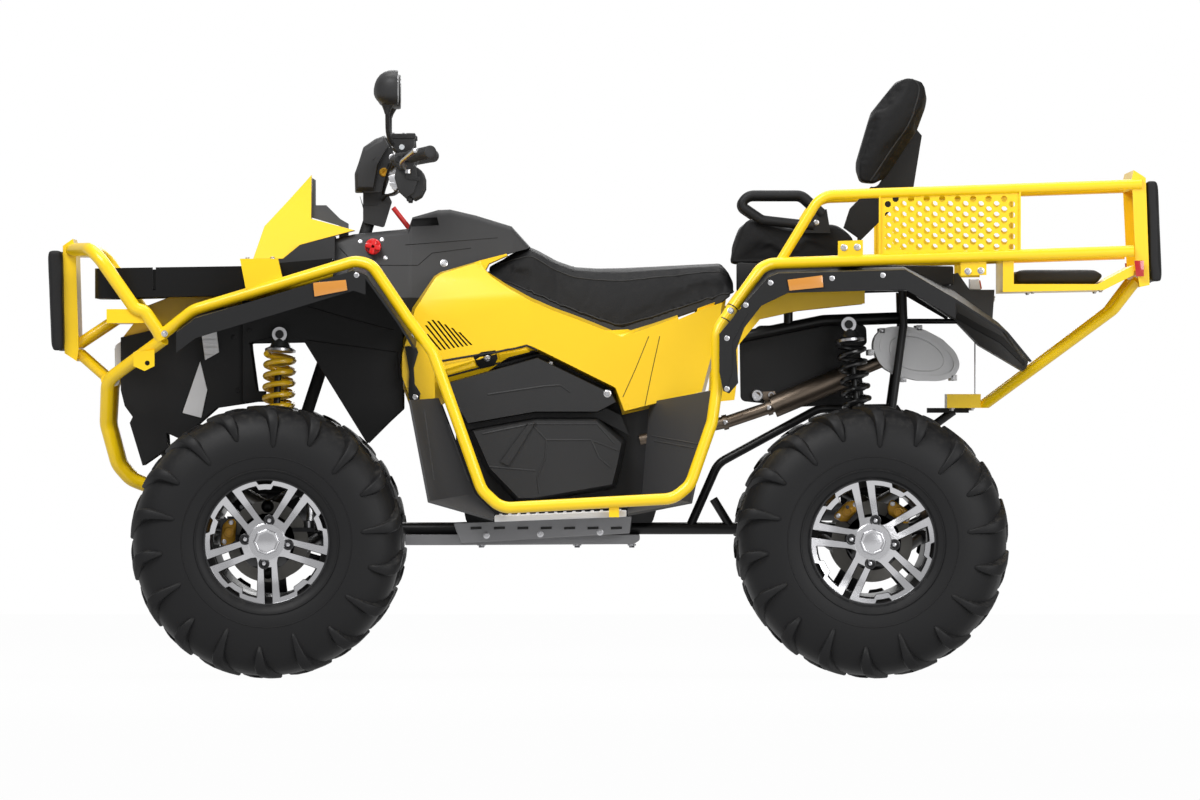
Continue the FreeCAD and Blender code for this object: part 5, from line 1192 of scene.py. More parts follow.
def build_springs(context):
    """Coil springs over their dampers, with seats, adjuster rings and eyes."""
    wire = context.scene.quad_sizes.spring_wire
    for end, spring in (("front", "spring_yellow"), ("rear", "spring_black")):
        foot, top = shock_ends(end)
        for side_name, side in SIDES:
            a = Vector((foot.x, side * abs(foot.y), foot.z))
            b = Vector((top.x, side * abs(top.y), top.z))
            along = (b - a).normalized()
            length = (b - a).length
            turn = turn_to(along)
            start = COIL_ABOVE_FOOT
            stop = length - COIL_BELOW_TOP
            coil = []
            steps = int(SPRING_TURNS * COIL_STEPS)
            for k in range(steps + 1):
                share = k / steps
                angle = 2 * math.pi * SPRING_TURNS * share
                rise = start + (stop - start) * share
                coil.append(ring_point(turn, a, COIL_RADIUS, rise, angle))
            damper = SHOCK_FOOT + [(length * 0.52, 0.018), (length * 0.53, 0.0155),
                                   (length * 0.53 + 0.004, 0.0085), (length - 0.09, 0.0085)]
            crown = [(length - below, radius) for below, radius in SHOCK_CROWN]
            parts = [
                (sweep(coil, wire / 2, 10), 0),
                (lathe(damper, a, along, 28), 1),
                (lathe(crown, a, along, 28), 2),
                (lathe(SHOCK_EYE, a, (1, 0, 0), 24, closed=True), 1),
                (lathe(SHOCK_EYE, b, (0, 1, 0), 24, closed=True), 2),
            ]
            show("%s_spring_%s" % (end, side_name), together(parts), "chassis",
                 [finish[spring], finish["frame_black"], finish["metal"]], sharp=30,
                 replaces=[end + "_shocks"] if side < 0 else [])


# Brake calipers

CALIPER_OUTLINE = [(-0.113, -0.004), (-0.108, -0.009), (-0.090, -0.007), (-0.077, 0.003), (-0.074, 0.046),
                   (-0.080, 0.056), (-0.096, 0.053), (-0.108, 0.040)]
CALIPER_PISTON = [(0.0, 0.014), (0.003, 0.014), (0.004, 0.012), (0.004, 0.008), (0.002, 0.007),
                  (0.002, 0.001)]
PISTON_PLACE = (-0.092, 0.022)
CALIPER_BOLTS = [(-0.104, 0.0), (-0.087, 0.047)]
BRACKET_OUTLINE = [(-0.040, -0.004), (-0.096, 0.002), (-0.096, 0.042), (-0.036, 0.026)]
CALIPER_OUTER = 0.4655
FRONT_CALIPER_INNER = 0.4515
REAR_CALIPER_INNER = 0.420
BRACKET_PLANES = (0.405, 0.425)
REAR_CALIPER_TURNS = (-118, -37)


def caliper_parts(axle, side, inner, turn):
    """One caliper beside an axle, with its piston, bolts and the bracket that a rear one has."""
    cosine = math.cos(math.radians(turn))
    sine = math.sin(math.radians(turn))

    def spot(u, v, y):
        return Vector((axle.x + u * cosine - v * sine, side * y, axle.z + u * sine + v * cosine))

    cover = loft([[spot(u, v, y) for u, v in CALIPER_OUTLINE] for y in (inner, CALIPER_OUTER)])
    parts = [(rounded_edges(cover, 0.003, 2), 0)]
    parts.append((lathe(CALIPER_PISTON, spot(*PISTON_PLACE, CALIPER_OUTER), (0, side, 0), 28), 0))
    for u, v in CALIPER_BOLTS:
        parts.append((bolt(spot(u, v, CALIPER_OUTER), (0, side, 0), 0.0045), 1))
    if turn:
        bracket = loft([[spot(u, v, y) for u, v in BRACKET_OUTLINE] for y in BRACKET_PLANES])
        parts.append((rounded_edges(bracket, 0.002, 1), 2))
    return parts


def build_calipers(context):
    """Gold brake calipers on the front uprights and the rear hubs, with their pistons."""
    materials = [finish["caliper_gold"], finish["metal"], finish["cast_grey"]]
    for side_name, side in SIDES:
        front = caliper_parts(FRONT_AXLE, side, FRONT_CALIPER_INNER, 0)
        show("caliper_" + side_name, together(front), "knuckle_" + side_name, materials[:2])
        rear = []
        for turn in REAR_CALIPER_TURNS:
            rear += caliper_parts(REAR_AXLE, side, REAR_CALIPER_INNER, turn)
        show("rear_calipers_" + side_name, together(rear), "chassis", materials)


# Handlebar, pod and mirrors

BAR, GRIP, HOUSING, BARE, RED, CLEAR = range(6)

# Lines of places of the photograph, each with its plane across the vehicle
BAR_LINE = [(430, 151.6, -0.400), (404, 157, -0.256), (388, 166, -0.044)]
LEVER_LINE = [(409, 168, -0.224), (398, 163, -0.299), (415, 150.4, -0.403)]
LEVER_PIVOT = (407, 167.4, -0.238)
HOSE_LINE = [(398, 152.5, -0.226), (392, 160, -0.190), (386, 172, -0.110), (382, 188, -0.045),
             (380, 198, -0.020)]
WIRE_LINE = [(397, 188, -0.212), (392, 192, -0.150), (385, 194, -0.070), (380, 200, -0.024)]
PIVOT_RING = [(-0.012, 0.006), (-0.012, 0.009), (0.012, 0.009), (0.012, 0.006)]
LEVER_BALL = [(-0.006, 0.002), (-0.0045, 0.0065), (0.0, 0.0082), (0.0045, 0.0065), (0.006, 0.002)]
GRIP_END = [(-0.0038, 0.004), (-0.0038, 0.0125), (-0.002, 0.0155), (0.004, 0.0158), (0.006, 0.0138)]
GRIP_COLLAR = [(0.111, 0.014), (0.113, 0.0158), (0.120, 0.0158), (0.121, 0.0112)]
GRIP_RIBS = 18
GRIP_PITCH = 0.0056
BUTTON = [(-0.002, 0.0052), (0.003, 0.0052), (0.004, 0.0042), (0.004, 0.001)]
BUTTON_PX = (414.6, 155.5)
BUTTONS = [(-0.252, RED), (-0.238, CLEAR), (-0.224, CLEAR)]
CHOKE = [(0.0, 0.0105), (0.05, 0.0105), (0.052, 0.008), (0.052, 0.002)]
CHOKE_PLACE = (393, 158, -0.213)
SWITCH_BOLT = (391.2, 156, -0.214)
SIGHT_GLASS = [(0.0, 0.0065), (0.0015, 0.0065), (0.002, 0.0045), (0.001, 0.001)]
SIGHT_PLACE = (401, 146, -0.251)
LID_SCREWS = [(392.5, 132.4, -0.245), (402.5, 132.4, -0.210)]
CLAMP_BOLTS = [(384, 159, -0.036), (391.5, 159, -0.036)]

# Rows of blocks: outline, its two planes, rounding, steps of the rounding and material number
SWITCH_BLOCKS = [
    ([(394, 152), (411, 150), (416, 157), (412, 168), (399, 169), (393, 162)], (-0.262, -0.214), 0.003, 2,
     HOUSING),
    ([(396, 160), (409, 158), (416, 166), (417, 180), (413, 192), (405, 197.5), (398, 191), (393.6, 177)],
     (-0.244, -0.196), 0.004, 2, HOUSING),
    ([(410, 168), (416, 166), (421.5, 170), (424, 177), (424, 187), (420, 195), (413, 199), (408, 195)],
     (-0.238, -0.204), 0.004, 3, HOUSING),
    ([(405, 172), (419, 176), (419, 180), (405, 178)], (-0.2475, -0.240), 0.001, 2, HOUSING),
    ([(405, 196), (411, 196), (410, 200.4), (406, 200.4)], (-0.232, -0.208), 0.001, 2, HOUSING),
    ([(387, 175), (396, 172.5), (406, 178), (406, 186), (401, 192), (391, 188)], (-0.198, -0.192), 0.001, 2,
     BARE),
    ([(388, 181), (404, 183), (404, 186), (389, 185)], (-0.200, -0.186), 0.001, 2, BARE),
]
RESERVOIR_BLOCKS = [
    ([(391, 137), (413.4, 137), (414, 144), (408, 153), (398, 153), (392, 146)], (-0.251, -0.205), 0.003, 2,
     HOUSING),
    ([(389.8, 132.4), (414.8, 132.4), (415, 137.4), (389.8, 137.4)], (-0.2545, -0.2015), 0.0022, 2, HOUSING),
    ([(405.4, 131.9), (414, 131.9), (414, 133), (405.4, 133)], (-0.245, -0.211), 0.0008, 2, HOUSING),
]
CLAMP_BLOCKS = [([(380, 160), (387, 157.5), (394, 160), (396, 172), (381, 173)], (-0.046, -0.026), 0.002, 2,
                 BARE)]


def line_at(places):
    """Points of the model from places of the photograph, each with its own plane."""
    return [at(*place) for place in places]


def blocks(rows):
    """Blocks with their material numbers, from rows of a table."""
    return [(outline_block(outline, *planes, edge, segments), material)
            for outline, planes, edge, segments, material in rows]


def lever_parts():
    """Left brake lever with its pivot and ball end."""
    ends = line_at(LEVER_LINE)
    line = rounded_line(ends, 0.045, 7)
    radii = [0.0075 - 0.0025 * min(k / 8, 1.0) for k in range(len(line))]
    radii[-1] = 0.0065
    return [
        (sweep(line, radii, 12), BARE),
        (lathe(PIVOT_RING, at(*LEVER_PIVOT), (0, 0, 1), 20), BARE),
        (lathe(LEVER_BALL, ends[-1], (0, 0, 1), 16), BARE),
    ]


def switch_parts():
    """Left switch block, throttle housing and the buttons that face the rider."""
    parts = blocks(SWITCH_BLOCKS)
    for k, (y, material) in enumerate(BUTTONS):
        place = at(BUTTON_PX[0], BUTTON_PX[1] + k * 0.4, y)
        parts.append((lathe(BUTTON, place, (0.85, 0, 0.5), 16), material))
    parts.append((bolt(at(*SWITCH_BOLT), (0, -1, 0), 0.006), BARE))
    parts.append((lathe(CHOKE, at(*CHOKE_PLACE), (0.25, -0.97, 0), 20), HOUSING))
    return parts


def reservoir_parts():
    """Left fluid reservoir with its lid, sight glass and two screws."""
    parts = blocks(RESERVOIR_BLOCKS)
    parts.append((lathe(SIGHT_GLASS, at(*SIGHT_PLACE), (0, -1, 0), 20), CLEAR))
    for place in LID_SCREWS:
        parts.append((bolt(at(*place), (0, 0, 1), 0.0028, False), BARE))
    return parts


def grip_profile():
    """Half section of a ribbed grip."""
    profile = list(GRIP_END)
    for k in range(GRIP_RIBS):
        start = 0.008 + k * GRIP_PITCH
        profile += [(start, 0.0138), (start + 0.0008, 0.0154), (start + 0.0036, 0.0154),
                    (start + 0.0044, 0.0138)]
    return profile + GRIP_COLLAR


def build_controls(context):
    """Handlebar with its grips, brake levers, switch blocks and fluid reservoirs."""
    points = line_at(BAR_LINE)
    bar = rounded_line(points + [Vector((p.x, -p.y, p.z)) for p in points[::-1]], 0.05, 8)
    along = (points[1] - points[0]).normalized()
    left = [(lathe(grip_profile(), points[0], along, 32), GRIP)]
    left += lever_parts() + switch_parts() + reservoir_parts()
    left.append((sweep(through(line_at(HOSE_LINE), 6), 0.0036, 10), GRIP))
    left.append((sweep(through(line_at(WIRE_LINE), 6), 0.0028, 10), GRIP))
    left += blocks(CLAMP_BLOCKS)
    for place in CLAMP_BOLTS:
        left.append((bolt(at(*place), (0, 0, 1), 0.0045), BARE))
    half = together(left)
    other = mirrored(half)
    materials = [finish[name] for name in ("frame_black", "rubber", "cover_black", "metal", "knob_red",
                                           "clear_lens")]
    whole = together([(sweep(bar, 0.011, 16), BAR), half, other])
    show("handlebar_controls", whole, "steering", materials, replaces=["handlebar"])


POD_SHELL, POD_HOOD, POD_SCREEN, POD_SEAM, POD_BARE, POD_LOCK = range(6)
POD_MIDDLE_PX = (370, 164)
POD_SHELL_PX = [(383, 133), (373.5, 136.5), (361.3, 145), (356.3, 161), (352.4, 172), (353, 191), (372, 191),
                (377, 163), (388, 143)]
POD_SHELL_PLANES = [(-0.0865, 0.80), (-0.073, 0.95), (-0.035, 1.0), (0.035, 1.0), (0.073, 0.95),
                    (0.0865, 0.80)]
POD_REAR_PX = [(380, 136), (391.6, 150), (379, 191), (376, 204), (361, 204), (361, 188), (368, 160)]
POD_REAR_PLANES = [(-0.072, 191.0), (-0.0365, 191.0), (-0.034, 204.0), (0.034, 204.0), (0.0365, 191.0),
                   (0.072, 191.0)]
SCREEN_TOP_PX = (383.6, 135.5)
SCREEN_FOOT_PX = (391.2, 148.5)
SCREEN_SLABS = [(0.064, 0.0, 0.0025, POD_HOOD), (0.055, 0.005, 0.0035, POD_SCREEN)]
POD_SEAM_LINE = [(357.5, 161, 0.080), (372, 158, 0.0865), (377.5, 151, 0.0845)]
POD_SCREWS_PX = [(362, 176), (376, 150)]
LOCK = [(0.0, 0.011), (0.008, 0.011), (0.010, 0.009), (0.010, 0.004), (0.007, 0.001)]
LOCK_PLACE = (381.5, 170.5, -0.066)


def screen_parts():
    """Screen under its hood, on the sloped rear face of the pod."""
    top = at(*SCREEN_TOP_PX)
    foot = at(*SCREEN_FOOT_PX)
    down = (foot - top).normalized()
    facing = Vector((-down.z, 0, down.x))
    if facing.x < 0:
        facing = -facing
    parts = []
    for half, inset, rise, material in SCREEN_SLABS:
        start = top + down * inset
        stop = foot - down * inset
        corners = [start + Vector((0, -half, 0)), start + Vector((0, half, 0)),
                   stop + Vector((0, half * 0.9, 0)), stop + Vector((0, -half * 0.9, 0))]
        slab = loft([[c - facing * 0.003 for c in corners], [c + facing * rise for c in corners]])
        parts.append((rounded_edges(slab, 0.0012, 2), material))
    return parts


def build_pod(context):
    """Instrument pod: faceted front shell, narrower rear shell, screen under its hood and ignition lock."""
    shell = loft([[at(px, py, y) for px, py in scaled(POD_SHELL_PX, POD_MIDDLE_PX, share, share)]
                  for y, share in POD_SHELL_PLANES])
    rear = loft([[at(px, min(py, deepest), y) for px, py in POD_REAR_PX] for y, deepest in POD_REAR_PLANES])
    parts = [(rounded_edges(shell, 0.0025, 2, 18), POD_SHELL), (rounded_edges(rear, 0.002, 1, 25), POD_HOOD)]
    parts += screen_parts()
    for side in (-1, 1):
        seam = [at(px, py, side * y) for px, py, y in POD_SEAM_LINE]
        parts.append((sweep(seam, 0.0009, 6), POD_SEAM))
        for px, py in POD_SCREWS_PX:
            parts.append((bolt(at(px, py, side * 0.083), (0, side, 0), 0.0032, False), POD_BARE))
    parts.append((lathe(LOCK, at(*LOCK_PLACE), (0.2, -0.98, 0), 24), POD_LOCK))
    show("instrument_shells", together(parts), "steering",
         [finish["console_grey"], finish["cover_black"], finish["screen"], finish["seam"], finish["metal"],
          finish["caliper_gold"]], replaces=["instrument_pod"])


MIRROR_Y = 0.330
STEM_FOOT_Y = 0.225
MIRROR_STEPS = 40
MIRROR_POWER = 2.8
# Sections of a mirror's shell: place along the vehicle, top, bottom and half width
MIRROR_SECTIONS = [(373.2, 88.0, 93.5, 0.015), (374.4, 82.5, 96.8, 0.036), (376.4, 78.0, 99.8, 0.052),
                   (379.5, 74.0, 102.0, 0.062), (384.0, 71.0, 103.6, 0.069), (389.0, 69.4, 104.4, 0.0735),
                   (395.4, 69.2, 104.7, 0.0745), (397.4, 69.8, 104.2, 0.0735), (397.6, 72.0, 102.2, 0.069)]
GLASS_PX = (397.75, 0)
STEM_LINE = [(396, 147, -STEM_FOOT_Y), (386.8, 138, -(STEM_FOOT_Y + MIRROR_Y) / 2), (386.6, 108, -MIRROR_Y)]
NECK_LINE = [(386.6, 113.5, -MIRROR_Y), (386.6, 110, -MIRROR_Y), (386.8, 106.5, -MIRROR_Y),
             (387.2, 102, -MIRROR_Y), (387.8, 98, -MIRROR_Y)]
NECK_RADII = [0.0058, 0.0085, 0.0125, 0.018, 0.020]
STEM_NUT = [(-0.006, 0.006), (-0.006, 0.0095), (0.006, 0.0095), (0.007, 0.0065)]
STEM_NUT_PLACE = (396, 147.6, -STEM_FOOT_Y)
BAR_CLAMP = [(-0.010, 0.0125), (-0.010, 0.015), (0.010, 0.015), (0.010, 0.0125)]
BAR_CLAMP_PLACE = (397.5, 159.5, -STEM_FOOT_Y)


def build_mirrors(context):
    """Round-backed mirrors with their glass, neck, stem and clamp."""
    rings = []
    for px, top, bottom, half in MIRROR_SECTIONS:
        high = at(px, top).z
        low = at(px, bottom).z
        middle = (high + low) / 2
        rise = (high - low) / 2
        power = 2 / MIRROR_POWER
        ring = []
        for k in range(MIRROR_STEPS):
            angle = 2 * math.pi * k / MIRROR_STEPS
            u = math.cos(angle)
            v = math.sin(angle)
            ring.append(Vector((at(px, top).x, -MIRROR_Y + half * math.copysign(abs(u) ** power, u),
                                middle + rise * math.copysign(abs(v) ** power, v))))
        rings.append(ring)
    glass = [Vector((at(*GLASS_PX).x, p.y, p.z)) for p in rings[-1]]
    centre = sum(glass, Vector()) / len(glass)
    face = [centre + (p - centre) * 0.985 for p in glass]
    back = [p - Vector((0.002, 0, 0)) for p in face]
    half = together([
        (loft(rings), 0),
        (loft([back, face]), 1),
        (sweep(rounded_line(line_at(STEM_LINE), 0.04, 8), 0.005, 14), 0),
        (sweep(line_at(NECK_LINE), NECK_RADII, 20), 0),
        (lathe(STEM_NUT, at(*STEM_NUT_PLACE), (-0.4, -0.3, 0.85), 6), 0),
        (lathe(BAR_CLAMP, at(*BAR_CLAMP_PLACE), (0.2, 0.97, 0.1), 24), 0),
    ])
    other = mirrored(half)
    show("mirror_heads", together([half, other]), "steering",
         [finish["cover_black"], finish["mirror_glass"]], sharp=40, replaces=["mirrors"])


# Trim on the body

KNOB_PLACE = (371.5, 245.5, -0.120)
KNOB_RING = [(0.0, 0.0195), (0.008, 0.0195), (0.011, 0.017), (0.011, 0.002)]
KNOB_WING = (0.0185, 0.0062)
KNOB_WING_PLANES = (-0.034, -0.008)
KNOB_TURNS = (14, 104)
ROD_LINE = [(391.5, 206, -0.060), (409, 228.5, -0.060)]


def build_knob(context):
    """Red battery switch with four lobes, and the red rod that leads into the console."""
    centre = at(*KNOB_PLACE)
    parts = [(lathe(KNOB_RING, centre, (0, -1, 0), 36), 0)]
    for turn in KNOB_TURNS:
        wing = block((centre.x - KNOB_WING[0], centre.y + KNOB_WING_PLANES[0], centre.z - KNOB_WING[1]),
                     (centre.x + KNOB_WING[0], centre.y + KNOB_WING_PLANES[1], centre.z + KNOB_WING[1]),
                     0.003, 2)
        bmesh.ops.rotate(wing, verts=wing.verts, cent=centre,
                         matrix=Matrix.Rotation(math.radians(turn), 3, "Y"))
        parts.append((wing, 0))
    show("battery_knob", together(parts), "chassis", [finish["knob_red"]],
         replaces=["battery_switch"])
    show("red_rod", sweep(line_at(ROD_LINE), 0.0062, 16), "chassis", [finish["hose_red"]])


# Beads laid on the skin: lines of the photograph
PANEL_FOLDS_PX = [[(649, 336), (636, 368), (623, 397)], [(660, 336), (652, 372), (645, 406)]]
CONSOLE_SEAMS_PX = [[(381, 264.4), (416.7, 264.4), (431, 252), (470, 247)],
                    [(404, 243.8), (451, 240.3), (497, 236.5)],
                    [(338, 247), (352, 262), (381, 264.4)]]
RECESS_EDGES_PX = [[(437.6, 361.4), (471.8, 355.6), (494.8, 352.2), (526.5, 345.2), (537, 349.5)],
                   [(441, 377.5), (476.5, 368), (538, 352.4)]]
TAB_PX = [(473, 357), (481, 351.8), (495, 350), (497, 357), (493.5, 364.5), (481, 367.5), (476, 364)]
TAB_BOLT_PX = (486.4, 356.8)
PATCHES_PX = [[(444, 363), (470.5, 358), (475.5, 365), (446.5, 373.5)],
              [(498.5, 353.6), (525.5, 347.8), (529.5, 350.6), (499, 358.6)]]
PANEL_BOLTS_PX = [(550.5, 363.4), (607.4, 393.6)]
CONSOLE_BOLTS_PX = [(442.9, 262.3)]
SWITCH_BOLTS_PX = [(358.6, 240.4), (380.4, 238.6), (384, 257)]
VENT_SCREEN_PX = [(418, 316), (452, 316), (474, 342), (474, 350), (434, 352), (418, 334)]
CORNER_PX = [(398, 297), (434, 297), (421, 312), (414, 321), (402, 321)]
STRIP_PX = [(464, 421), (470, 414), (532, 400), (545, 404), (598, 404), (621, 415), (630, 436), (596, 418),
            (535, 418), (468, 430)]
STRIP_BOLTS_PX = [(500, 414), (534, 408.5), (572, 409)]
STRAP_PX = [(404, 346), (415, 346), (417.5, 352), (413, 368), (414, 384), (419.6, 393), (418.6, 401),
            (411.6, 402.6), (407.4, 398), (408.4, 372)]
STRAP_BOLT_PX = (414.4, 397.1)
STRIP_OUTER = 0.199
STRAP_OUTER = 0.2385


def beads(tree, lines_px, side, lift, radius, sides, material):
    """Thin round beads laid on a surface along lines of the photograph."""
    return [(sweep(line_on(tree, line_px, side, lift), radius, sides), material) for line_px in lines_px]


def build_panel_trim(context):
    """Seams, screws and small covers on the side panels, console and engine covers."""
    for side_name, side in SIDES:
        panel = skin_of("side_panel_" + side_name)
        covers = skin_of("engine_covers", "side_panel_" + side_name)
        console = skin_of("console")
        parts = beads(panel, PANEL_FOLDS_PX, side, 0.0001, 0.0009, 6, 0)
        parts += beads(console, CONSOLE_SEAMS_PX, side, -0.0002, 0.0011, 6, 0)
        parts += beads(covers, RECESS_EDGES_PX, side, 0.0012, 0.0026, 8, 0)
        parts.append((plate_on(covers, TAB_PX, side, 0.0045), 0))
        for patch in PATCHES_PX:
            parts.append((plate_on(covers, patch, side, 0.0030), 1))
        parts.append((bolts_on(covers, PANEL_BOLTS_PX, side, 0.0068), 2))
        spot, normal = on_skin(covers, *TAB_BOLT_PX, side, 0.0045)
        parts.append((bolt(spot, normal, 0.0068), 2))
        parts.append((bolts_on(console, CONSOLE_BOLTS_PX, side, 0.0068), 2))
        parts.append((bolts_on(console, SWITCH_BOLTS_PX, side, 0.0040), 2))
        parts.append((side_block(VENT_SCREEN_PX, side, 0.205, 0.209), 0))
        parts.append((side_block(CORNER_PX, side, 0.1505, 0.157), 0))
        parts.append((side_block(STRIP_PX, side, 0.192, STRIP_OUTER, 0.0008, 1), 0))
        for px, py in STRIP_BOLTS_PX:
            parts.append((bolt(at(px, py, side * STRIP_OUTER), (0, side, 0), 0.0042), 2))
        parts.append((side_block(STRAP_PX, side, 0.2310, STRAP_OUTER, 0.0015, 2), 0))
        parts.append((bolt(at(*STRAP_BOLT_PX, side * STRAP_OUTER), (0, side, 0), 0.0048), 2))
        show("panel_trim_" + side_name, together(parts), "chassis",
             [finish["body_black"], finish["body_yellow"], finish["metal"]])


FENDER_SCREWS_PX = [(357, 275.3), (389.7, 300.6), (412.6, 335.8), (770.2, 283), (831.6, 278.5),
                    (882.3, 275.5), (745.5, 305.2), (726.6, 338.4), (726.6, 388.9)]
NOSE_SCREWS_PX = [(247.8, 330.4), (236, 390.4), (231.7, 337)]
FENDER_FOLD_PX = [[(748, 312), (733, 340), (732, 372), (727, 386)]]
LINER_FOLDS_PX = [[(306, 306), (347, 318), (393, 330)], [(306, 340), (352, 346), (396, 352), (398, 380)]]


def build_fender_trim(context):
    """Screws and stiffening folds on the fenders, the fascia and the liners."""
    for side_name, side in SIDES:
        fenders = skin_of("front_fenders", "rear_fenders", "side_panel_" + side_name, "tail")
        nose = skin_of("front_fascia", "splash_liners", "frame")
        parts = [(bolts_on(fenders, FENDER_SCREWS_PX, side, 0.0048), 0)]
        parts.append((bolts_on(nose, NOSE_SCREWS_PX, side, 0.0050), 1))
        parts += beads(fenders, FENDER_FOLD_PX, side, 0.0001, 0.0013, 8, 1)
        parts += beads(nose, LINER_FOLDS_PX, side, 0.0001, 0.0014, 8, 1)
        show("fender_screws_" + side_name, together(parts), "chassis",
             [finish["metal"], finish["body_black"]])


REFLECTORS_PX = [[(313.6, 283), (346.4, 280), (348, 290.5), (315, 297)],
                 [(787, 280), (822, 275.5), (823, 287.5), (789, 291)]]
RED_REFLECTOR_PX = [(1134.5, 260.5), (1144, 260.5), (1144, 276.5), (1136, 276.5)]
REFLECTOR_Y = 0.5525
REFLECTOR_BACK = 0.5515
BEZEL_GROWTH = (1.05, 1.12)
HEADLAMP_PX = [(111.9, 346.5), (114.5, 343), (115, 374.6), (112.8, 373.2)]
HEADLAMP_PLANES = (0.064, 0.148)
LENS_RIB_PX = [(111.5, 348), (113, 348), (113, 372), (111.9, 372)]
LENS_RIBS = [0.074 + k * 0.016 for k in range(5)]
TAIL_LAMP_PX = [(980.5, 278.6), (983.4, 279.2), (985.2, 288), (981, 288.4)]
TAIL_LAMP_PLANES = (-0.058, 0.058)


def reflector_parts(outline, side):
    """Amber side reflector in its bezel."""
    middle_px = (sum(p[0] for p in outline) / 4, sum(p[1] for p in outline) / 4)
    grown = scaled(outline, middle_px, *BEZEL_GROWTH)
    return [(side_block(grown, side, REFLECTOR_BACK, REFLECTOR_Y + 0.0018, 0.0006, 1), 1),
            (side_block(outline, side, REFLECTOR_BACK, REFLECTOR_Y + 0.0050, 0.0016, 2), 0)]


def build_lamps(context):
    """Amber side reflectors in their bezels, red side reflectors, ribbed headlamp lenses and the tail lamp.
    """
    for side_name, side in SIDES:
        parts = reflector_parts(REFLECTORS_PX[0], side) + reflector_parts(REFLECTORS_PX[1], side)
        parts.append((side_block(RED_REFLECTOR_PX, side, 0.4405, 0.4470, 0.0012, 2), 2))
        show("side_reflectors_" + side_name, together(parts), "chassis",
             [finish["amber_lens"], finish["body_black"], finish["red_lens"]],
             replaces=["reflectors"] if side < 0 else [])
    lenses = []
    for side in (-1, 1):
        lenses.append((side_block(HEADLAMP_PX, side, *HEADLAMP_PLANES, 0.003, 2), 0))
        for rib in LENS_RIBS:
            lenses.append((outline_block(LENS_RIB_PX, side * rib - 0.001, side * rib + 0.001), 0))
    lenses.append((outline_block(TAIL_LAMP_PX, *TAIL_LAMP_PLANES, 0.002, 2), 1))
    show("lamp_lenses", together(lenses), "chassis",
         [finish["clear_lens"], finish["red_lens"]])


GUARD_TUBE_RADIUS = 0.014
COLLAR_HALF_WIDTH = 0.0012
GUARD_BOLTS_PX = [(844, 247.6), (857.3, 247.1), (968, 271.2), (981, 270.6)]
HANDLE_BOLTS_PX = [(817.6, 221.5)]
# Two places on the tube for each collar, the first under its middle
COLLARS_PX = [((732.5, 307.6), (729.5, 312.0)), ((724.5, 320.4), (722, 325))]
COLLAR_BOLT_PX = (730.6, 310.6)
BUMPER_BOLT_PX = (164.2, 333.6)
SHELF_BOLTS = [(1034, 291.6, 0.30), (1102, 290.2, 0.30)]
RACK_BOLTS = [(247, 258.8, 0.372), (272, 258.2, 0.372)]
FOOT_BOLTS = [(954, 408.4, 0.12), (974, 408.4, 0.12)]


def tube_collar(tree, here_px, there_px, side):
    """Ring round a tube of the guard at a place of the photograph."""
    radius = GUARD_TUBE_RADIUS
    wide = COLLAR_HALF_WIDTH
    here = on_skin(tree, *here_px, side)[0] - Vector((0, side * radius, 0))
    there = on_skin(tree, *there_px, side)[0] - Vector((0, side * radius, 0))
    profile = [(-wide, radius * 0.9), (-wide, radius * 1.05), (wide, radius * 1.05), (wide, radius * 0.9)]
    return lathe(profile, here, there - here, 32)


def standing_bolts(places, side, axis, size):
    """Bolts at places of the photograph with their planes, on one side."""
    return [(bolt(at(px, py, side * y), axis, size), 0) for px, py, y in places]


def build_rack_trim(context):
    """Bolts and collars on the guards and the racks."""
    for side_name, side in SIDES:
        guard = skin_of("side_guard_" + side_name)
        shelf = skin_of("side_guard_" + side_name, "rear_shelf", "rear_rack", "rear_frame", "front_bumper",
                        "grab_handles", "pillion")
        parts = [(bolts_on(guard, GUARD_BOLTS_PX, side, 0.0062), 0)]
        parts.append((bolts_on(shelf, HANDLE_BOLTS_PX, side, 0.0050), 0))
        for here, there in COLLARS_PX:
            parts.append((tube_collar(guard, here, there, side), 1))
        for tree, place in ((guard, COLLAR_BOLT_PX), (shelf, BUMPER_BOLT_PX)):
            spot, normal = on_skin(tree, *place, side)
            parts.append((bolt(spot - normal * 0.001, normal, 0.0060), 0))
        parts += standing_bolts(SHELF_BOLTS, side, (0, 0, -1), 0.0048)
        parts += standing_bolts(RACK_BOLTS, side, (0, 0, 1), 0.0048)
        parts += standing_bolts(FOOT_BOLTS, side, (0, 0, -1), 0.0062)
        show("rack_bolts_" + side_name, together(parts), "chassis",
             [finish["metal"], finish["frame_black"]])


TREAD_COUNT = 14
TREAD_PITCH_PX = 9.2
TREAD_START_PX = (499, 515.4)
TREAD_SLOPE_START_PX = 494.5
TREAD_SLOPE = 0.0395
TREAD_PLANES = (0.215, 0.480)
SLOT_COUNT = 7
SLOT_PITCH_PX = 23.5
SLOT_START_PX = 470
SLOT_PLANES = (0.2445, 0.2475)
SKID_BOLTS_PX = [(486, 536), (540, 534.6), (600, 532.8)]
SKID_FEET = [(480.6, 546.0, 0.120), (577, 546.0, 0.120), (632, 546.0, 0.120)]


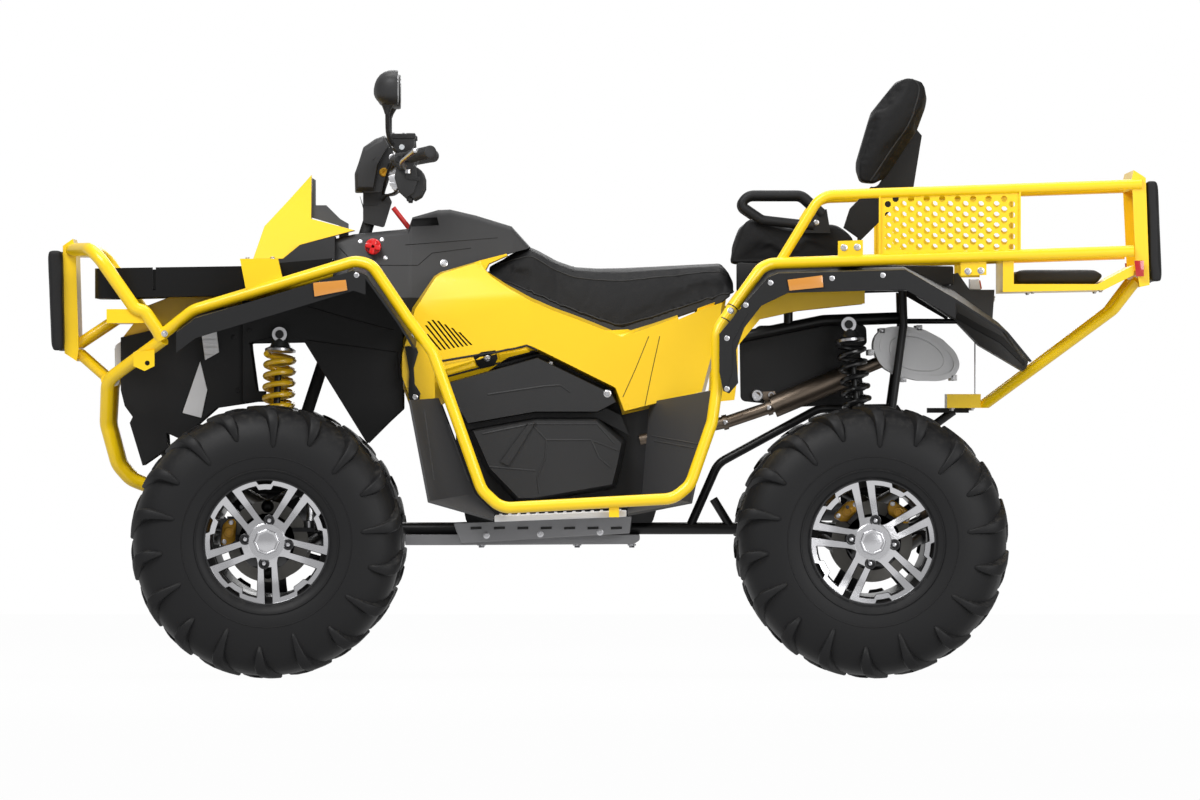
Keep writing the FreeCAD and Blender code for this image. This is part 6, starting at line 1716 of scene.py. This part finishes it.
def build_floor_trim(context):
    """Tread of the footboards, and the slots and bolts of the skid plate."""
    for side_name, side in SIDES:
        parts = []
        for k in range(TREAD_COUNT):
            px = TREAD_START_PX[0] + k * TREAD_PITCH_PX
            top = TREAD_START_PX[1] - (px - TREAD_SLOPE_START_PX) * TREAD_SLOPE
            ridge = [(px, top - 0.9), (px + 2.6, top - 1.0), (px + 3.4, top + 0.4), (px - 0.8, top + 0.5)]
            parts.append((side_block(ridge, side, *TREAD_PLANES, 0.0, 1), 0))
        for k in range(SLOT_COUNT):
            px = SLOT_START_PX + k * SLOT_PITCH_PX
            slot = [(px, 527.5), (px + 11, 527.1), (px + 11, 529.6), (px, 530.0)]
            parts.append((side_block(slot, side, *SLOT_PLANES, 0.0006, 1), 1))
        parts.append((bolts_on(skin_of("skid_plate"), SKID_BOLTS_PX, side, 0.0060), 2))
        feet = [bolt(at(px, py, side * y), (0, 0, -1), 0.0075) for px, py, y in SKID_FEET]
        parts.append((together(feet), 2))
        show("floor_trim_" + side_name, together(parts), "chassis",
             [finish["board_grey"], finish["seam"], finish["metal"]])


SILENCER_PX = [(874, 347), (877, 334), (888, 326.5), (906, 325.5), (926, 329), (944, 338.5), (958, 352),
               (962.5, 365), (957, 376), (943, 381), (920, 380.5), (900, 376), (882, 366)]
SILENCER_MIDDLE_PX = (918, 354)
# Share of the outline, plane and thickness of the silencer's edge bead and face bead
SILENCER_BEADS = [(0.865, 0.1845, 0.0022), (0.62, 0.1832, 0.0012)]
SILENCER_LUGS_PX = [(884, 330.5), (921, 327.6), (872.6, 352), (955.8, 377.6), (905, 379)]
LUG_HALF_PX = (3.2, 3)
LUG_PLANES = (0.176, 0.190)
PIPE_Y = -0.142
PIPE_CLAMP = [(-0.006, 0.014), (-0.006, 0.0185), (0.006, 0.0185), (0.006, 0.014)]
PIPE_CLAMPS_PX = [((770, 407.8), (776, 405.8)), ((851, 374.6), (856, 372.4)), ((726, 422.4), (731, 421.2))]
HANGER_LOOPS = [(758.4, 395.1, -0.094, 0.0145), (772.6, 395.0, -0.094, 0.0085)]
HANGER_PX = [(756, 392), (776, 391), (780, 404), (772, 406), (764, 399)]
HANGER_PLANES = (-0.100, -0.093)


def build_exhaust_trim(context):
    """Beads and lugs of the silencer, clamps of the exhaust pipe and its hanger with two loops."""
    wide, tall = LUG_HALF_PX
    parts = []
    for side in (-1, 1):
        for share, y, size in SILENCER_BEADS:
            outline = scaled(SILENCER_PX, SILENCER_MIDDLE_PX, share, share)
            ring = [at(px, py, side * y) for px, py in outline]
            smooth = through(ring + [ring[0]], 5)[:-1]
            parts.append((sweep(smooth, size, 8, closed=True), 0))
        for px, py in SILENCER_LUGS_PX:
            lug_px = [(px - wide, py - tall), (px + wide, py - tall), (px + wide, py + tall),
                      (px - wide, py + tall)]
            parts.append((side_block(lug_px, side, *LUG_PLANES, 0.002, 2), 0))
            parts.append((bolt(at(px, py, side * LUG_PLANES[1]), (0, side, 0), 0.0032, False), 2))
    for here, there in PIPE_CLAMPS_PX:
        a = at(*here, PIPE_Y)
        b = at(*there, PIPE_Y)
        parts.append((lathe(PIPE_CLAMP, a, b - a, 28), 1))
        parts.append((bolt(a + Vector((0, -PIPE_CLAMP[1][1], 0)), (0, -1, 0), 0.004), 2))
    for px, py, y, size in HANGER_LOOPS:
        loop = [(0.0, size), (0.010, size), (0.012, size * 0.85), (0.012, size * 0.55), (0.006, size * 0.5),
                (0.006, 0.001)]
        parts.append((lathe(loop, at(px, py, y), (0, -1, 0), 28), 2))
    parts.append((outline_block(HANGER_PX, *HANGER_PLANES, 0.001), 1))
    show("exhaust_fittings", together(parts), "chassis",
         [finish["silencer_steel"], finish["exhaust_steel"], finish["metal"]])


TAIL_BLOCKS = [
    ([(972, 290), (991, 290), (996.5, 297), (987, 318.5), (981, 314), (975, 300)], (-0.088, 0.088), 0.002, 2,
     0),
    ([(996.4, 294.4), (998.4, 296), (989, 318.4), (986.6, 317.6)], (-0.095, 0.095), 0.001, 2, 1),
]
PLATE_SCREWS = [(996.4, 299.5, -0.07), (996.4, 299.5, 0.07)]
PLATE_FACING = (0.92, 0, -0.38)
FLAP_EDGE_PX = [(960, 312), (1006, 337), (1028, 362), (1027, 366), (1003, 343), (957, 318)]
FLAP_EDGE_PLANES = (0.1495, 0.1525)
FLAP_STAY_LINE = [(977.9, 334, -0.06), (977.9, 394, -0.06)]


def build_tail_trim(context):
    """Blank plate on its holder, the edges of the tail flap and its thin stay."""
    parts = blocks(TAIL_BLOCKS)
    for place in PLATE_SCREWS:
        parts.append((bolt(at(*place), PLATE_FACING, 0.0036), 2))
    for side in (-1, 1):
        parts.append((side_block(FLAP_EDGE_PX, side, *FLAP_EDGE_PLANES, 0.0008, 1), 0))
    parts.append((sweep(line_at(FLAP_STAY_LINE), 0.0016, 8), 2))
    show("tail_trim", together(parts), "chassis",
         [finish["body_black"], finish["plate_white"], finish["metal"]])


COVER_FOLDS_PX = [
    [(487, 394.5), (545, 386), (560, 385), (570, 392)],
    [(482, 434), (531, 424), (597, 424), (615, 444)],
    [(531, 424), (546, 440), (545, 458), (537, 478), (539, 494)],
    [(591, 440), (599, 458), (611, 468)],
    [(489, 467), (535, 471)],
    [(546, 440), (590, 440), (619, 451)],
]
WELL_FOLDS_PX = [
    [(652, 436), (698, 444)],
    [(654, 441), (694, 448)],
    [(447, 424), (468, 482)],
    [(424, 410), (434, 480)],
]


def build_cover_trim(context):
    """Folds and ribs moulded in the engine covers and the footwells."""
    for side_name, side in SIDES:
        parts = beads(skin_of("engine_covers"), COVER_FOLDS_PX, side, -0.0012, 0.0030, 8, 0)
        parts += beads(skin_of("footwells"), WELL_FOLDS_PX, side, 0.0, 0.0016, 8, 1)
        show("cover_folds_" + side_name, together(parts), "chassis",
             [finish["cover_black"], finish["footwell_grey"]])


# Stage

CAMERA_LENS = 600.0
SENSOR_WIDTH = 36.0
FRAME_CENTRE_PX = (600.0, 400.0)
FRAME_WIDTH_PX = 1200
NEAR_PLANE = -0.45
FLOOR = [(-14, -17, 0), (14, -17, 0), (14, 14, 0), (-14, 14, 0)]
FLOOR_DARK = (0.46, 0.46, 0.46, 1)
FLOOR_PALE = (0.52, 0.52, 0.52, 1)
WHITE = (1, 1, 1, 1)
WORLD_STRENGTH = 0.38
# How much of its white the floor shows the camera and reflections, and the world reflections
FLOOR_WHITE = 0.98
FLOOR_GLOSS = 0.7
WORLD_GLOSS = 0.15
# Lamps: name, place, what they aim at, size and energy
LAMPS = [
    ("key", (-2.2, -4.2, 4.6), (0, 0, 0.6), (3.2, 2.4), 230),
    ("fill", (3.0, -4.5, 1.9), (0.2, 0, 0.7), (3.0, 2.2), 105),
    ("top", (0.2, 0.4, 5.0), (0, 0, 0.6), (4.5, 2.6), 120),
    ("back", (0.8, 4.8, 3.0), (0, 0, 0.8), (4.0, 2.4), 90),
]


def area_lamp(name, place, aim, size, energy):
    data = bpy.data.lights.new(name, "AREA")
    data.shape = "RECTANGLE"
    data.size = size[0]
    data.size_y = size[1]
    data.energy = energy
    lamp = bpy.data.objects.new(name, data)
    bpy.context.scene.collection.objects.link(lamp)
    lamp.location = place
    lamp.rotation_mode = "QUATERNION"
    lamp.rotation_quaternion = (Vector(aim) - Vector(place)).to_track_quat("-Z", "Y")


def white_for_viewer(tree, surface, out):
    """Shows a surface as white to the camera and in reflections, with its own shade kept in part."""
    path = add_node(tree, "ShaderNodeLightPath")
    mirrored_share = maths(tree, "MULTIPLY", path.outputs["Is Glossy Ray"], FLOOR_GLOSS)
    seen = maths(tree, "ADD", path.outputs["Is Camera Ray"], mirrored_share, clamp=True)
    seen = maths(tree, "ADD", seen, path.outputs["Is Transmission Ray"], clamp=True)
    white = add_node(tree, "ShaderNodeEmission", {"Color": WHITE, "Strength": 1.0})
    blend = add_node(tree, "ShaderNodeMixShader", {0: maths(tree, "MULTIPLY", seen, FLOOR_WHITE), 1: surface,
                                                   2: white.outputs[0]})
    connect(tree, blend.outputs[0], out.inputs[0])


def build_stage(context):
    """Pale floor, soft studio lamps and the camera at the photograph's angle."""
    scene = context.scene
    scene.view_settings.view_transform = "Standard"
    bm = bmesh.new()
    bm.faces.new([bm.verts.new(c) for c in FLOOR])
    floor_material = bpy.data.materials.new("floor")
    floor_material.use_nodes = True
    tree = floor_material.node_tree
    tree.nodes.clear()
    out = add_node(tree, "ShaderNodeOutputMaterial")
    place = add_node(tree, "ShaderNodeTexCoord").outputs["Object"]
    speck = add_node(tree, "ShaderNodeTexNoise", {"Vector": place, "Scale": 4.0, "Detail": 3.0})
    tone = mix_colour(tree, speck.outputs["Fac"], FLOOR_DARK, FLOOR_PALE)
    diffuse = add_node(tree, "ShaderNodeBsdfDiffuse", {"Color": tone})
    white_for_viewer(tree, diffuse.outputs[0], out)
    floor = show("floor", bm, None, [floor_material])
    world = bpy.data.worlds.new("studio")
    scene.world = world
    world.use_nodes = True
    tree = world.node_tree
    tree.nodes.clear()
    out = add_node(tree, "ShaderNodeOutputWorld")
    light = add_node(tree, "ShaderNodeBackground", {"Color": WHITE, "Strength": WORLD_STRENGTH})
    seen = add_node(tree, "ShaderNodeBackground", {"Color": WHITE, "Strength": 1.0})
    path = add_node(tree, "ShaderNodeLightPath")
    viewed = maths(tree, "ADD", path.outputs["Is Camera Ray"], path.outputs["Is Transmission Ray"],
                   clamp=True)
    viewed = maths(tree, "ADD", viewed, maths(tree, "MULTIPLY", path.outputs["Is Glossy Ray"], WORLD_GLOSS),
                   clamp=True)
    blend = add_node(tree, "ShaderNodeMixShader", {0: viewed, 1: light.outputs[0], 2: seen.outputs[0]})
    connect(tree, blend.outputs[0], out.inputs[0])
    for lamp in LAMPS:
        area_lamp(*lamp)
    data = bpy.data.cameras.new("camera")
    data.lens = CAMERA_LENS
    data.sensor_width = SENSOR_WIDTH
    camera = bpy.data.objects.new("camera", data)
    scene.collection.objects.link(camera)
    target = at(*FRAME_CENTRE_PX, NEAR_PLANE)
    back = Vector((0, -1, 0))
    distance = FRAME_WIDTH_PX * METRES_PER_PX * CAMERA_LENS / SENSOR_WIDTH
    camera.location = target + back * distance
    camera.rotation_mode = "QUATERNION"
    camera.rotation_quaternion = (-back).to_track_quat("-Z", "Y")
    data.clip_start = 1.0
    data.clip_end = distance * 3
    scene.camera = camera


class QUADBIKE_OT_stage(bpy.types.Operator):
    """Makes the floor, lamps and camera"""
    bl_idname = "quadbike.stage"
    bl_label = "Build stage"

    def execute(self, context):
        build_stage(context)
        return {"FINISHED"}


class QUADBIKE_OT_finishes(bpy.types.Operator):
    """Gives every carried-over CAD piece its finish and rounded edges"""
    bl_idname = "quadbike.finishes"
    bl_label = "Finish CAD pieces"

    def execute(self, context):
        build_finishes(context)
        return {"FINISHED"}


class QUADBIKE_OT_tyres(bpy.types.Operator):
    """Replaces the four tyres with lugged ones"""
    bl_idname = "quadbike.tyres"
    bl_label = "Build tyres"

    def execute(self, context):
        build_tyres(context)
        return {"FINISHED"}


class QUADBIKE_OT_rims(bpy.types.Operator):
    """Replaces the four rims with forked ones"""
    bl_idname = "quadbike.rims"
    bl_label = "Build rims"

    def execute(self, context):
        build_rims(context)
        return {"FINISHED"}


class QUADBIKE_OT_calipers(bpy.types.Operator):
    """Adds the brake calipers of the wheels"""
    bl_idname = "quadbike.calipers"
    bl_label = "Build calipers"

    def execute(self, context):
        build_calipers(context)
        return {"FINISHED"}


class QUADBIKE_OT_seat(bpy.types.Operator):
    """Replaces the seat with a padded one"""
    bl_idname = "quadbike.seat"
    bl_label = "Build seat"

    def execute(self, context):
        build_seat(context)
        return {"FINISHED"}


class QUADBIKE_OT_pillion(bpy.types.Operator):
    """Replaces the passenger's seat and adds its deck"""
    bl_idname = "quadbike.pillion"
    bl_label = "Build pillion"

    def execute(self, context):
        build_pillion(context)
        return {"FINISHED"}


class QUADBIKE_OT_backrest(bpy.types.Operator):
    """Replaces the backrest with a padded one"""
    bl_idname = "quadbike.backrest"
    bl_label = "Build backrest"

    def execute(self, context):
        build_backrest(context)
        return {"FINISHED"}


class QUADBIKE_OT_pads(bpy.types.Operator):
    """Replaces the rubber pads"""
    bl_idname = "quadbike.pads"
    bl_label = "Build pads"

    def execute(self, context):
        build_pads(context)
        return {"FINISHED"}


class QUADBIKE_OT_springs(bpy.types.Operator):
    """Replaces the shock absorbers with coil springs"""
    bl_idname = "quadbike.springs"
    bl_label = "Build springs"

    def execute(self, context):
        build_springs(context)
        return {"FINISHED"}


class QUADBIKE_OT_controls(bpy.types.Operator):
    """Replaces the handlebar with its grips, levers and switches"""
    bl_idname = "quadbike.controls"
    bl_label = "Build controls"

    def execute(self, context):
        build_controls(context)
        return {"FINISHED"}


class QUADBIKE_OT_pod(bpy.types.Operator):
    """Replaces the instrument pod with its shells and screen"""
    bl_idname = "quadbike.pod"
    bl_label = "Build instrument pod"

    def execute(self, context):
        build_pod(context)
        return {"FINISHED"}


class QUADBIKE_OT_mirrors(bpy.types.Operator):
    """Replaces the mirrors with round-backed ones"""
    bl_idname = "quadbike.mirrors"
    bl_label = "Build mirrors"

    def execute(self, context):
        build_mirrors(context)
        return {"FINISHED"}


class QUADBIKE_OT_knob(bpy.types.Operator):
    """Replaces the battery switch and adds the red rod"""
    bl_idname = "quadbike.knob"
    bl_label = "Build battery switch"

    def execute(self, context):
        build_knob(context)
        return {"FINISHED"}


class QUADBIKE_OT_panel_trim(bpy.types.Operator):
    """Adds seams, screws and small covers to the side panels"""
    bl_idname = "quadbike.panel_trim"
    bl_label = "Build panel trim"

    def execute(self, context):
        build_panel_trim(context)
        return {"FINISHED"}


class QUADBIKE_OT_fender_trim(bpy.types.Operator):
    """Adds screws and folds to the fenders and liners"""
    bl_idname = "quadbike.fender_trim"
    bl_label = "Build fender trim"

    def execute(self, context):
        build_fender_trim(context)
        return {"FINISHED"}


class QUADBIKE_OT_lamps(bpy.types.Operator):
    """Replaces the reflectors and adds the lenses"""
    bl_idname = "quadbike.lamps"
    bl_label = "Build lamps"

    def execute(self, context):
        build_lamps(context)
        return {"FINISHED"}


class QUADBIKE_OT_rack_trim(bpy.types.Operator):
    """Adds bolts and collars to the guards and racks"""
    bl_idname = "quadbike.rack_trim"
    bl_label = "Build rack trim"

    def execute(self, context):
        build_rack_trim(context)
        return {"FINISHED"}


class QUADBIKE_OT_floor_trim(bpy.types.Operator):
    """Adds the tread and bolts under the rider's feet"""
    bl_idname = "quadbike.floor_trim"
    bl_label = "Build floor trim"

    def execute(self, context):
        build_floor_trim(context)
        return {"FINISHED"}


class QUADBIKE_OT_exhaust_trim(bpy.types.Operator):
    """Adds clamps, bead and bolts to the exhaust and silencer"""
    bl_idname = "quadbike.exhaust_trim"
    bl_label = "Build exhaust trim"

    def execute(self, context):
        build_exhaust_trim(context)
        return {"FINISHED"}


class QUADBIKE_OT_tail_trim(bpy.types.Operator):
    """Adds the blank plate and the tail's folds"""
    bl_idname = "quadbike.tail_trim"
    bl_label = "Build tail trim"

    def execute(self, context):
        build_tail_trim(context)
        return {"FINISHED"}


class QUADBIKE_OT_cover_trim(bpy.types.Operator):
    """Adds the folds of the engine covers and footwells"""
    bl_idname = "quadbike.cover_trim"
    bl_label = "Build cover trim"

    def execute(self, context):
        build_cover_trim(context)
        return {"FINISHED"}


OPERATORS = [
    QUADBIKE_OT_stage,
    QUADBIKE_OT_finishes,
    QUADBIKE_OT_tyres,
    QUADBIKE_OT_rims,
    QUADBIKE_OT_calipers,
    QUADBIKE_OT_seat,
    QUADBIKE_OT_pillion,
    QUADBIKE_OT_backrest,
    QUADBIKE_OT_pads,
    QUADBIKE_OT_springs,
    QUADBIKE_OT_controls,
    QUADBIKE_OT_pod,
    QUADBIKE_OT_mirrors,
    QUADBIKE_OT_knob,
    QUADBIKE_OT_panel_trim,
    QUADBIKE_OT_fender_trim,
    QUADBIKE_OT_lamps,
    QUADBIKE_OT_rack_trim,
    QUADBIKE_OT_floor_trim,
    QUADBIKE_OT_exhaust_trim,
    QUADBIKE_OT_tail_trim,
    QUADBIKE_OT_cover_trim,
]


class QUADBIKE_PT_pieces(bpy.types.Panel):
    """Lists the operators that build the pieces."""
    bl_label = "Quad bike"
    bl_idname = "QUADBIKE_PT_pieces"
    bl_space_type = "VIEW_3D"
    bl_region_type = "UI"
    bl_category = "Quad bike"

    def draw(self, context):
        for operator in OPERATORS:
            self.layout.operator(operator.bl_idname)


CLASSES = [QuadColours, QuadSizes] + OPERATORS + [QUADBIKE_PT_pieces]


def register():
    for item in CLASSES:
        bpy.utils.register_class(item)
    bpy.types.Scene.quad_colours = PointerProperty(type=QuadColours)
    bpy.types.Scene.quad_sizes = PointerProperty(type=QuadSizes)


def unregister():
    del bpy.types.Scene.quad_sizes
    del bpy.types.Scene.quad_colours
    for item in reversed(CLASSES):
        bpy.utils.unregister_class(item)


def main():
    register()
    for operator in OPERATORS:
        group, name = operator.bl_idname.split(".")
        getattr(getattr(bpy.ops, group), name)()


if __name__ == "__main__":
    main()
